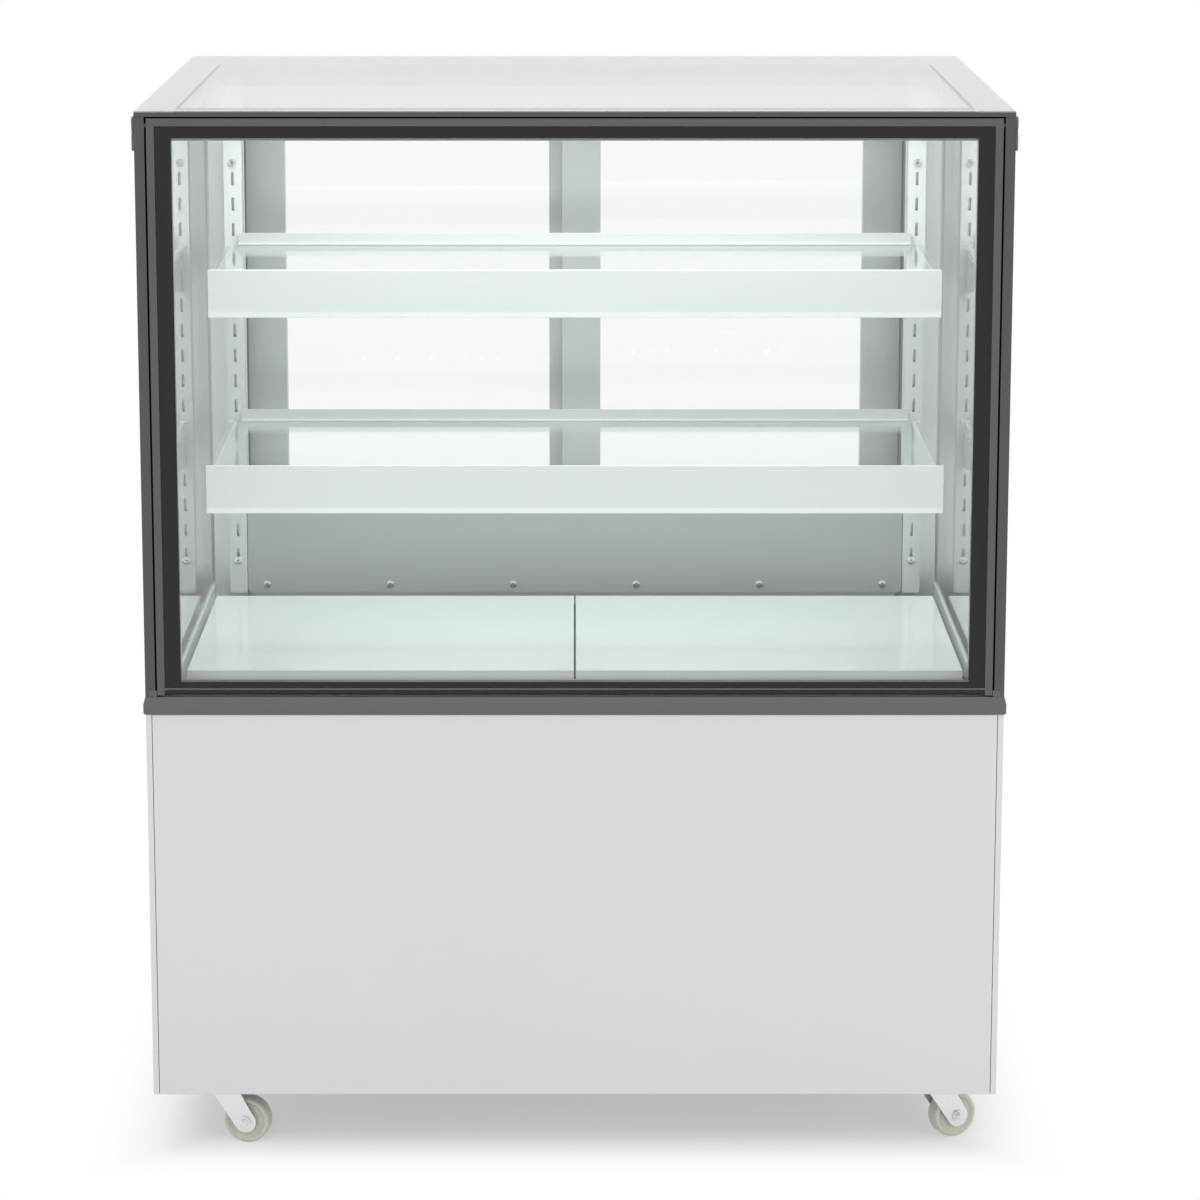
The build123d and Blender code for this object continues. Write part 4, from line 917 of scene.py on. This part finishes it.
@dataclass
class CoolingSet:
    """Compressor, coils, fans and pipes, and the well that they cool."""

    shop: Workshop

    def dress(self) -> None:
        """Finishes the cooling pieces."""
        enamel = Coating(
            "Black enamel", (0.018, 0.018, 0.02), 0.25, 500.0, 0.00003, 0.1, 0.3
        ).build()
        fins = DrawnMetal("Mill aluminium", (0.62, 0.63, 0.64), Axis.Z, 0.38).build()
        copper = DrawnMetal("Drawn copper", (0.66, 0.30, 0.17), Axis.Z, 0.3).build()
        fan = Coating("Black fan moulding", (0.025, 0.025, 0.027), 0.5, 900.0).build()
        liner = Coating("Grey liner", (0.60, 0.62, 0.62), 0.4, 700.0).build()
        sheet = Coating("Grey painted sheet", (0.42, 0.44, 0.45), 0.42, 1000.0).build()
        self.shop.dress(enamel, "compressor")
        self.shop.dress(fins, "condenser_coil", "evaporator_coil")
        self.shop.dress(copper, "refrigerant_pipes")
        self.shop.dress(fan, "condenser_fan", "evaporator_fan_left", "evaporator_fan_right")
        self.shop.dress(liner, "insulated_well")
        self.shop.dress(sheet, "evaporator_fan_plate", "deck_cross_rail")


@dataclass
class GlassHouse:
    """The fixed glazing: side frames, top frame, panes, their seals and the lamp."""

    shop: Workshop
    print_front: float = 0.019
    print_rear: float = 0.114
    print_side: float = 0.040
    print_thickness: float = 0.00012
    print_inset: float = 0.0005
    print_lift: float = 0.00002
    pane_thickness: float = 0.004
    frame_to_pane: float = 0.030
    liner_ledge: float = 0.0232
    liner_margin: float = 0.0003
    bottom_rail: float = 0.022
    rear_post: float = 0.090
    chip_pitch: float = 0.0172
    chip_count: int = 26
    chip_size: tuple[float, float, float] = (0.0042, 0.0034, 0.0008)
    chip_edge: float = 0.0002
    lens_half_thickness: float = 0.0014
    foot_height: float = 0.0068
    foot_depth: float = 0.012
    foot_proud: float = 0.0008
    foot_inset: float = 0.004
    foot_gap: float = 0.0003
    foot_lift: float = 0.0001
    foot_edge: float = 0.0008

    def dress(self) -> None:
        """Finishes the glazing."""
        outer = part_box("side_panes")[1].x
        low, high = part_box("side_frame_left")
        frame = LinedFrame(
            "Dark anodised side frame",
            outside=DARK_ANODISED,
            inside=(0.70, 0.73, 0.735),
            half_width=outer - self.frame_to_pane + self.liner_margin,
            ledge=(outer - self.liner_ledge, low.z + self.bottom_rail + self.liner_margin),
            rear=high.y - self.rear_post + self.liner_margin,
        ).build()
        rails = DrawnMetal("Dark anodised rails", DARK_ANODISED, Axis.X, 0.32, 0.1).build()
        pane = ClearGlass("Clear double glazing", (0.985, 0.996, 0.991)).build()
        seal = Coating("Black edge seal", (0.012, 0.012, 0.013), 0.3, 600.0).build()
        cap = Coating("Dark cap moulding", DARK_ANODISED, 0.4, 1500.0).build()
        rubber = Coating("Black rubber", (0.022, 0.022, 0.023), 0.6, 800.0).build()
        white = Coating("White lamp paint", (0.82, 0.83, 0.83), 0.3, 900.0).build()
        lens = LitPlastic("Opal lens", (0.93, 0.97, 1.0), 1.6).build()
        self.shop.soften(frame, PROFILE_EDGE, "side_frame_left", "side_frame_right")
        self.shop.soften(rails, PROFILE_EDGE, "top_frame")
        self.shop.dress(pane, "side_panes", "top_panes")
        self.shop.dress(seal, "glazing_spacers")
        self.shop.soften(cap, PROFILE_EDGE, "hinge_caps")
        self.shop.dress(rubber, "front_gasket")
        self.shop.dress(white, "led_housing")
        self.shop.dress(lens, "led_diffuser")
        self._print()
        self._chips()
        self._feet(cap)

    def _print(self) -> None:
        """Adds the pale border that is printed under the top glass."""
        paint = Coating(
            "Pale printed border", (0.40, 0.402, 0.405), 0.35, 1800.0, 0.000004, 0.02
        ).build()
        low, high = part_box("top_panes")
        base = high.z - self.pane_thickness + self.print_lift
        top = base + self.print_thickness
        left, right = low.x + self.print_inset, high.x - self.print_inset
        front, rear = low.y + self.print_inset, high.y - self.print_inset
        clear_left, clear_right = low.x + self.print_side, high.x - self.print_side
        clear_front, clear_rear = low.y + self.print_front, high.y - self.print_rear
        border = bmesh.new()
        for x0, x1, y0, y1 in (
            (left, right, front, clear_front),
            (left, right, clear_rear, rear),
            (left, clear_left, clear_front, clear_rear),
            (clear_right, right, clear_front, clear_rear),
        ):
            add_block(border, (x0, y0, base), (x1, y1, top))
        self.shop.add("top_glass_print", border, paint, "top_frame")

    def _chips(self) -> None:
        """Adds the row of bright chips that show along the middle of the lamp's lens."""
        glow = LitPlastic("Lamp chip", (1.0, 1.0, 0.98), 14.0).build()
        low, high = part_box("led_diffuser")
        slope = math.atan2(high.z - low.z, high.y - low.y)
        middle = Vector((0.0, (low.y + high.y) / 2, (low.z + high.z) / 2))
        middle += Vector((0.0, math.sin(slope), -math.cos(slope))) * self.lens_half_thickness
        turn = Matrix.Rotation(slope + math.pi, 4, "X")
        width, depth, height = self.chip_size
        chips = bmesh.new()
        for step in range(self.chip_count):
            part = bmesh.new()
            add_block(
                part, (-width / 2, -depth / 2, 0.0), (width / 2, depth / 2, height), self.chip_edge
            )
            x = (step - (self.chip_count - 1) / 2) * self.chip_pitch
            join(chips, part, Matrix.Translation(middle + Vector((x, 0.0, 0.0))) @ turn)
        self.shop.add("lamp_chips", chips, glow, "led_diffuser")

    def _feet(self, moulding: bpy.types.Material) -> None:
        """Adds the small black blocks at the feet of the front posts."""
        low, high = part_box("side_frame_right")
        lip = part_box("front_frame")[1].x
        feet = bmesh.new()
        for side in (-1, 1):
            ends = sorted((side * (lip + self.foot_gap), side * (high.x - self.foot_inset)))
            add_block(
                feet,
                (ends[0], low.y - self.foot_proud, low.z + self.foot_lift),
                (ends[1], low.y + self.foot_depth, low.z + self.foot_height),
                self.foot_edge,
            )
        self.shop.add("front_post_feet", feet, moulding, "hinge_caps")


@dataclass
class LiftPanel:
    """The front glazed panel that lifts on pivots at its top corners."""

    shop: Workshop
    frame_edge: float = 0.0008

    def dress(self) -> None:
        """Finishes the panel."""
        rails = DrawnMetal(
            "Dark anodised panel frame", (0.13, 0.13, 0.135), Axis.X, 0.3, 0.1
        ).build()
        pane = ClearGlass("Clear front glazing", (0.988, 0.997, 0.993)).build()
        seal = Coating("Black front seal", (0.011, 0.011, 0.012), 0.3, 1500.0, 0.000002).build()
        self.shop.soften(rails, self.frame_edge, "front_frame")
        self.shop.dress(pane, "front_panes")
        self.shop.dress(seal, "front_edge_seal")


@dataclass
class SlidingDoors:
    """The rear doors with their header, sill and the jambs beside them."""

    shop: Workshop
    brush_width: float = 0.006
    brush_inset: float = 0.016
    brush_foot: float = 0.012
    brush_head: float = 0.016
    brush_clearance: float = 0.0003
    brush_edge: float = 0.0008

    def dress(self) -> None:
        """Finishes the doors and what they run in."""
        stile = self._anodised("Anodised door stiles", (0.56, 0.58, 0.595), Axis.Z)
        post = self._anodised("Anodised posts", (0.74, 0.765, 0.775), Axis.Z)
        rail = self._anodised("Anodised door rails", (0.50, 0.52, 0.54), Axis.X)
        pane = ClearGlass("Clear door glass", (0.93, 0.945, 0.94)).build()
        self.shop.soften(stile, PROFILE_EDGE, "door_left_frame", "door_right_frame")
        self.shop.soften(post, PROFILE_EDGE, "stanchions")
        self.shop.soften(rail, PROFILE_EDGE, "door_header", "door_sill")
        self.shop.dress(pane, "door_left_glass", "door_right_glass")
        self._brush()

    def _anodised(self, name: str, colour: Colour, along: Axis) -> bpy.types.Material:
        """A satin anodised finish with its lines along one axis."""
        return DrawnMetal(name, colour, along, 0.34, 0.1, metallic=0.85).build()

    def _brush(self) -> None:
        """Adds the pile seal that closes the gap between the two doors."""
        pile = Coating("Black pile", (0.02, 0.02, 0.02), 0.9, 2500.0, 0.0002, 0.2).build()
        low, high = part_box("door_left_frame")
        gap_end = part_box("door_right_frame")[0].y - self.brush_clearance
        brush = bmesh.new()
        add_block(
            brush,
            (high.x - self.brush_inset - self.brush_width, high.y, low.z + self.brush_foot),
            (high.x - self.brush_inset, gap_end, high.z - self.brush_head),
            self.brush_edge,
        )
        self.shop.add("door_meeting_brush", brush, pile, "door_left_frame")


@dataclass
class Display:
    """Deck, riser, slotted uprights, brackets and shelves."""

    shop: Workshop
    riser_screws: tuple[float, ...] = (-0.355, -0.213, -0.071, 0.071, 0.213, 0.355)
    riser_screw_z: float = 0.531
    riser_screw_radius: float = 0.0042
    upright_screws: tuple[float, ...] = (1.019, 0.559)
    upright_screw_radius: float = 0.0045
    upright_half_width: float = 0.010
    chip_pitch: float = 0.0218
    chip_count: int = 26
    chip_size: tuple[float, float, float] = (0.0035, 0.0009, 0.0028)
    strip_rise: float = 0.0205
    strip_height: float = 0.007
    strip_depth: float = 0.0012
    strip_edge: float = 0.0003
    chip_edge: float = 0.0002
    rail_wall: float = 0.003
    rail_edge: float = 0.0005
    rail_foot: float = 0.006

    def dress(self) -> None:
        """Finishes the display surfaces, and adds their screws and lamps."""
        white = Coating(
            "White gloss paint", (0.87, 0.92, 0.915), 0.12, 800.0, 0.000006, 0.02, 0.4
        ).build()
        grey = Coating("Grey riser paint", (0.44, 0.46, 0.475), 0.3, 1000.0, 0.00001).build()
        pale = Coating(
            "Pale upright paint", (0.76, 0.79, 0.79), 0.3, 1000.0, 0.00001, 0.02
        ).build()
        glass = ClearGlass("Shelf glass", (0.962, 0.99, 0.98)).build()
        zinc = ZincSheet("Bright zinc", (0.72, 0.73, 0.74), 500.0, 0.1, 0.22).build()
        upper, lower = (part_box(f"{level}_shelf_trim")[0].z for level in ("upper", "lower"))
        # The rail carries a painted light strip along its foot and a painted glow all over.
        rail = FrostedRail(
            "Frosted rail",
            colour=(0.77, 0.80, 0.80),
            strip=(0.90, 0.94, 0.94),
            painted_light_strip_levels=(upper + self.rail_foot, lower + self.rail_foot),
            strip_height=self.rail_foot,
            stop=(0.43, 0.47, 0.465),
        ).build()
        self.shop.dress(white, "deck_plate_left", "deck_plate_right")
        self.shop.dress(grey, "rear_riser")
        self.shop.dress(pale, "uprights", "shelf_brackets")
        self.shop.dress(glass, "upper_shelf_glass", "lower_shelf_glass")
        self.shop.soften(rail, self.rail_edge, "upper_shelf_trim", "lower_shelf_trim")
        self._screws(zinc)
        self._lamps()

    def _lamps(self) -> None:
        """Adds the strip of small lamps behind the rail of each shelf."""
        board = Coating("White lamp board", (0.80, 0.82, 0.82), 0.35, 1200.0, 0.000008).build()
        glow = LitPlastic("Shelf lamp chip", (1.0, 1.0, 0.98), 20.0).build()
        width, depth, height = self.chip_size
        reach = self.chip_count * self.chip_pitch / 2
        half = self.strip_height / 2
        for level in ("upper", "lower"):
            trim = f"{level}_shelf_trim"
            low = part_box(trim)[0]
            rail_back = low.y + self.rail_wall
            board_back = rail_back + self.strip_depth
            middle = low.z + self.strip_rise
            strip = bmesh.new()
            add_block(
                strip,
                (-reach, rail_back, middle - half),
                (reach, board_back, middle + half),
                self.strip_edge,
            )
            self.shop.add(f"{level}_shelf_lamp_board", strip, board, trim)
            chips = bmesh.new()
            for step in range(self.chip_count):
                x = (step - (self.chip_count - 1) / 2) * self.chip_pitch
                add_block(
                    chips,
                    (x - width / 2, board_back, middle - height / 2),
                    (x + width / 2, board_back + depth, middle + height / 2),
                    self.chip_edge,
                )
            self.shop.add(f"{level}_shelf_lamp_chips", chips, glow, trim)

    def _screws(self, zinc: bpy.types.Material) -> None:
        """Adds the screws in the riser and the uprights."""
        screws = bmesh.new()
        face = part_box("rear_riser")[0].y
        for x in self.riser_screws:
            at = (x, face, self.riser_screw_z)
            add_screw(screws, at, Facing.FRONT, self.riser_screw_radius)
        low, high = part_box("uprights")
        centre = high.x - self.upright_half_width
        for z in self.upright_screws:
            for side in (-1, 1):
                at = (side * centre, low.y, z)
                add_screw(screws, at, Facing.FRONT, self.upright_screw_radius)
        self.shop.add("display_screws", screws, zinc, "rear_riser")


@dataclass
class Casters:
    """Four swivel casters with cream wheels in zinc plated forks."""

    shop: Workshop
    corners: tuple[str, ...] = ("front_left", "front_right", "rear_left", "rear_right")
    plate: float = 0.056
    plate_thickness: float = 0.003
    axle_reach: float = 0.0165
    nut_radius: float = 0.0048
    nut_height: float = 0.0024
    tip_radius: float = 0.0025
    bolt_spread: float = 0.0205
    bolt_radius: float = 0.0045
    bolt_height: float = 0.0021

    def dress(self) -> None:
        """Finishes the casters, and adds their bolts and nuts."""
        zinc = ZincSheet("Bright zinc plate", (0.74, 0.75, 0.76), 700.0, 0.08, 0.2).build()
        cream = Coating(
            "Cream wheel moulding", (0.70, 0.69, 0.57), 0.4, 900.0, variation=0.08
        ).build()
        forks = [f"caster_fork_{corner}" for corner in self.corners]
        self.shop.dress(zinc, "caster_plates", *forks)
        self.shop.dress(cream, *(f"caster_wheel_{corner}" for corner in self.corners))
        self._bolts(zinc)
        for corner in self.corners:
            self._nut(corner, zinc)

    def _swivel(self, corner: str) -> tuple[float, float]:
        """The place of a caster's swivel axis, across and from front to rear."""
        low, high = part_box("caster_plates")
        inset = self.plate / 2
        x = low.x + inset if "left" in corner else high.x - inset
        y = low.y + inset if "front" in corner else high.y - inset
        return x, y

    def _bolts(self, zinc: bpy.types.Material) -> None:
        """Adds the hexagonal bolt heads under the caster plates."""
        radius, height = self.bolt_radius, self.bolt_height
        head = [
            (0.0, 0.0),
            (radius, 0.0),
            (radius, height * 0.75),
            (radius * 0.8, height),
            (0.0, height),
        ]
        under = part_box("caster_plates")[1].z - self.plate_thickness
        bolts = bmesh.new()
        for corner in self.corners:
            x, y = self._swivel(corner)
            for step_x in (-self.bolt_spread, self.bolt_spread):
                for step_y in (-self.bolt_spread, self.bolt_spread):
                    at = Matrix.Translation((x + step_x, y + step_y, under))
                    add_turned(bolts, head, at @ Facing.DOWN.turn(), 6)
        self.shop.add("caster_plate_bolts", bolts, zinc, "caster_plates")

    def _nut(self, corner: str, zinc: bpy.types.Material) -> None:
        """Adds the nut on one end of an axle, and the domed tip of the bolt in it.

        Args:
            corner: the caster's corner.
            zinc: the finish.
        """
        low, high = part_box(f"caster_wheel_{corner}")
        wheel = (Vector(low) + Vector(high)) / 2
        trail = (wheel - Vector((*self._swivel(corner), wheel.z))).normalized()
        axis = Vector((-trail.y, trail.x, 0.0))
        if axis.y > 0:
            axis.negate()
        base = Matrix.Translation(wheel + axis * self.axle_reach) @ turn_up_to(axis)
        rim, rise, tip = self.nut_radius, self.nut_height, self.tip_radius
        sides = [(0.0, 0.0), (rim, 0.0), (rim, rise * 0.8), (rim * 0.86, rise), (0.0, rise)]
        dome = [
            (0.0, 0.0),
            (tip, 0.0),
            (tip, rise * 1.25),
            (tip * 0.7, rise * 1.5),
            (0.0, rise * 1.6),
        ]
        nut = bmesh.new()
        add_turned(nut, sides, base, 6)
        add_turned(nut, dome, base, 20)
        self.shop.add(f"caster_nut_{corner}", nut, zinc, f"caster_fork_{corner}")


@dataclass
class Controls:
    """Controller, switches and the power inlet at the rear.

    The two halves of a rocker are given by the rise of their middle, how far back it lies, and
    how many degrees it leans.
    """

    shop: Workshop
    rockers: tuple[str, ...] = ("power_switch", "light_switch")
    pin_spacing: float = 0.014
    pin_rise: float = 0.002
    window: tuple[float, float] = (0.042, 0.018)
    window_inset: float = 0.0375
    window_depth: float = 0.001
    window_gap: float = 0.0002
    key_reach: float = 0.029
    key_rise: float = 0.0065
    key_sink: float = 0.00005
    pin_reach: tuple[float, float] = (0.0012, 0.0022)
    socket_depth: float = 0.0245
    mark_line: tuple[float, float] = (0.0008, 0.0034)
    mark_ring: float = 0.0018
    mark_bore: float = 0.62
    mark_lift: float = 0.00006
    rocker_edge: float = 0.0004
    raised_half: tuple[float, float, float] = (0.00694, 0.00127, 16.0)
    pressed_half: tuple[float, float, float] = (-0.00779, 0.00334, 0.0)

    def dress(self) -> None:
        """Finishes the controls."""
        black = Coating("Black control moulding", BLACK_MOULDING, 0.38, 1500.0).build()
        gloss = Coating("Black rocker", (0.03, 0.03, 0.032), 0.2, 900.0, 0.000008).build()
        self.shop.dress(black, "rear_controls")
        self.shop.dress(self._socket(), "power_inlet")
        self.shop.soften(gloss, self.rocker_edge, *self.rockers)
        self._window()
        for rocker in self.rockers:
            self._marks(rocker)

    def _window(self) -> None:
        """Adds the smoked window of the temperature controller and the keys beside it."""
        smoke = Coating(
            "Smoked window", (0.010, 0.008, 0.009), 0.06, 900.0, 0.000001, 0.02, 0.5
        ).build()
        grey = Coating("Grey key", (0.16, 0.16, 0.17), 0.45, 1200.0).build()
        low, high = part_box("rear_controls")
        x, z = high.x - self.window_inset, (low.z + high.z) / 2
        half_x, half_z = (side / 2 - self.window_gap for side in self.window)
        pane = bmesh.new()
        add_block(
            pane,
            (x - half_x, high.y - self.window_depth, z - half_z),
            (x + half_x, high.y - self.window_gap, z + half_z),
            self.window_gap,
        )
        self.shop.add("controller_window", pane, smoke, "rear_controls")
        keys = bmesh.new()
        key = [(0.0, 0.0), (0.0032, 0.0), (0.0032, 0.0002), (0.0026, 0.0005), (0.0, 0.0005)]
        face = high.y - self.key_sink
        for side in (-self.key_reach, self.key_reach):
            for level in (-self.key_rise, self.key_rise):
                at = Matrix.Translation((x + side, face, z + level))
                add_turned(keys, key, at @ Facing.REAR.turn(), 28)
        self.shop.add("controller_keys", keys, grey, "rear_controls")

    def _marks(self, name: str) -> None:
        """Adds the line and the ring that mark the two ends of a rocker.

        Args:
            name: the rocker's node.
        """
        white = Coating("White marks", (0.80, 0.80, 0.80), 0.5, 900.0, 0.000002).build()
        low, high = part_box(name)
        base_low, base_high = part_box("rear_controls")
        middle = (base_low.z + base_high.z) / 2
        half_x, half_y = (side / 2 for side in self.mark_line)
        line = bmesh.new()
        add_block(line, (-half_x, -half_y, 0.0), (half_x, half_y, self.mark_lift))
        ring = bmesh.new()
        bmesh.ops.create_circle(ring, segments=32, radius=self.mark_ring)
        for item in bmesh.ops.extrude_edge_only(ring, edges=ring.edges[:])["geom"]:
            if isinstance(item, bmesh.types.BMVert):
                item.co *= self.mark_bore
        bmesh.ops.translate(ring, vec=(0.0, 0.0, self.mark_lift), verts=ring.verts)
        marks = bmesh.new()
        for mark, (rise, back, lean) in ((line, self.raised_half), (ring, self.pressed_half)):
            at = Matrix.Translation(((low.x + high.x) / 2, high.y - back, middle + rise))
            tilt = Matrix.Rotation(math.radians(-lean), 4, "X")
            join(marks, mark, at @ tilt @ Facing.REAR.turn())
        self.shop.add(f"{name}_marks", marks, white, name)

    def _socket(self) -> bpy.types.Material:
        """The finish of the power inlet, with its plated pins."""
        low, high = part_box("power_inlet")
        x, z = (low.x + high.x) / 2, (low.z + high.z) / 2
        pins = (
            (x - self.pin_spacing / 2, z - self.pin_rise),
            (x + self.pin_spacing / 2, z - self.pin_rise),
            (x, z + self.pin_rise),
        )
        depth = (high.y - self.socket_depth, high.y)
        return SocketPlastic(
            "Black inlet moulding", BLACK_MOULDING, pins, self.pin_reach, depth
        ).build()


@dataclass(frozen=True)
class Lamp:
    """One soft rectangular lamp.

    Attributes:
        name: its name.
        at: its place.
        size: its width and height.
        power: its power in watts.
        reflected: whether polished surfaces show it.
    """

    name: str
    at: Point
    size: tuple[float, float]
    power: float
    reflected: bool = True


@dataclass
class Studio:
    """Floor, world light, soft lamps and the camera."""

    camera_height: float = 1.5304
    camera_distance: float = 4.1504
    pitch: float = 11.127
    focal: float = 122.238
    shift: tuple[float, float] = (0.021, -0.08)
    ambient: float = 0.62
    # Painted white light lies over the floor: its share is least inside the shadow box, where it
    # thins the case's real shadow, and it rises to full white over the fade distance beyond the
    # box.
    shadow_box: tuple[float, float] = (0.38, 0.24)
    painted_light_fade: float = 0.15
    painted_floor_light: float = 0.38
    floor_half: float = 12.0
    lamp_aim: Point = (0.0, 0.0, 0.6)
    lamps: tuple[Lamp, ...] = (
        Lamp("key", (-1.6, -3.0, 2.9), (3.4, 2.6), 34.0, False),
        Lamp("fill", (2.4, -2.4, 1.9), (2.0, 2.6), 20.0, False),
        Lamp("top", (0.0, -0.1, 3.2), (3.0, 2.3), 26.0),
        Lamp("back", (0.0, 2.8, 2.2), (2.6, 1.6), 16.0),
        Lamp("case lamp", (0.0, -0.02, 1.10), (0.80, 0.34), 3.4, False),
    )

    def build(self) -> None:
        """Makes the whole studio."""
        self._world()
        self._floor()
        self._lamps()
        self._camera()
        bpy.context.scene.view_settings.view_transform = "Standard"
        cycles = bpy.context.scene.cycles
        cycles.max_bounces = 32
        cycles.transmission_bounces = 28
        cycles.transparent_max_bounces = 32
        cycles.diffuse_bounces = 6
        cycles.glossy_bounces = 8

    def _world(self) -> None:
        """A white background, and a plainer level of light on the object."""
        world = bpy.data.worlds.new("Studio")
        world.use_nodes = True
        graph = Graph(world.node_tree)
        output = graph.add("ShaderNodeOutputWorld")
        light = graph.add(
            "ShaderNodeBackground", {"Color": (0.97, 0.98, 1.0, 1.0), "Strength": self.ambient}
        )
        white = graph.add(
            "ShaderNodeBackground", {"Color": (1.0, 1.0, 1.0, 1.0), "Strength": 1.0}
        )
        mixed = graph.add(
            "ShaderNodeMixShader",
            {0: graph.sees_white(), 1: light.outputs[0], 2: white.outputs[0]},
        )
        graph.tree.links.new(mixed.outputs[0], output.inputs["Surface"])
        bpy.context.scene.world = world

    def _floor(self) -> None:
        """A pale floor under painted white light that thins its real shadow near the case and turns
        it white far from the case.
        """
        material, graph, shader, output = new_material("Studio floor")
        shader.inputs["Base Color"].default_value = (0.86, 0.86, 0.86, 1.0)
        shader.inputs["Roughness"].default_value = 0.7
        shader.inputs["Specular IOR Level"].default_value = 0.2
        beyond = [
            graph.maths("SUBTRACT", graph.maths("ABSOLUTE", graph.place(axis)), half)
            for axis, half in zip((Axis.X, Axis.Y), self.shadow_box)
        ]
        # Share of painted white light on the floor, least near the case.
        far = graph.add(
            "ShaderNodeMapRange",
            {
                "Value": graph.maths("MAXIMUM", *beyond),
                "From Min": 0.0,
                "From Max": self.painted_light_fade,
                "To Min": self.painted_floor_light,
            },
            interpolation_type="SMOOTHSTEP",
        )
        share = graph.maths("MULTIPLY", graph.sees_white(), far.outputs[0])
        white = graph.add("ShaderNodeEmission", {"Color": (1.0, 1.0, 1.0, 1.0), "Strength": 1.0})
        mixed = graph.add(
            "ShaderNodeMixShader", {0: share, 1: shader.outputs[0], 2: white.outputs[0]}
        )
        graph.tree.links.new(mixed.outputs[0], output.inputs["Surface"])
        shape = bmesh.new()
        bmesh.ops.create_grid(shape, x_segments=1, y_segments=1, size=self.floor_half)
        new_piece("studio_floor", shape, material)

    def _lamps(self) -> None:
        """Large soft lamps that all look at the middle of the case."""
        for lamp in self.lamps:
            data = bpy.data.lights.new(lamp.name, "AREA")
            data.shape = "RECTANGLE"
            data.size, data.size_y = lamp.size
            data.energy = lamp.power
            holder = bpy.data.objects.new(lamp.name, data)
            holder.location = lamp.at
            aim = Vector(self.lamp_aim) - Vector(lamp.at)
            holder.rotation_euler = aim.to_track_quat("-Z", "Y").to_euler()
            holder.visible_camera = False
            holder.visible_glossy = lamp.reflected
            holder.visible_transmission = False
            bpy.context.scene.collection.objects.link(holder)

    def _camera(self) -> None:
        """A long lens a little above the case, as in the photograph."""
        data = bpy.data.cameras.new("camera")
        data.sensor_width = 36.0
        data.lens = self.focal
        data.shift_x, data.shift_y = self.shift
        data.clip_end = 60.0
        camera = bpy.data.objects.new("camera", data)
        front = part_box("front_panel")[0].y
        camera.location = (0.0, front - self.camera_distance, self.camera_height)
        camera.rotation_euler = Euler((math.radians(90.0 - self.pitch), 0.0, 0.0))
        bpy.context.scene.collection.objects.link(camera)
        bpy.context.scene.camera = camera


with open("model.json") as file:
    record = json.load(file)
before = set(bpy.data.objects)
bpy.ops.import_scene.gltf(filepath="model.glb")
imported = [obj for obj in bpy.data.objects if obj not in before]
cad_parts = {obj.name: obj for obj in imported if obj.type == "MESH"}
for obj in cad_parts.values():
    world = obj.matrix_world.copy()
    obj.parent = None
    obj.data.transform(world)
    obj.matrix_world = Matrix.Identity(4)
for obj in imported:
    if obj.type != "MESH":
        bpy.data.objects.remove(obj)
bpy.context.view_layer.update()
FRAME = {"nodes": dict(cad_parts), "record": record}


def main() -> None:
    """Builds the dressed case and the studio."""
    logging.basicConfig(level=logging.INFO, format="%(message)s")
    shop = Workshop(FRAME["nodes"])
    assemblies = (Base, CoolingSet, GlassHouse, LiftPanel, SlidingDoors, Display, Casters, Controls)
    for assembly in assemblies:
        assembly(shop).dress()
    missing = sorted(set(FRAME["nodes"]) - shop.dressed)
    if missing:
        log.warning("nodes without a finish: %s", missing)
    Studio().build()


if __name__ == "__main__":
    main()
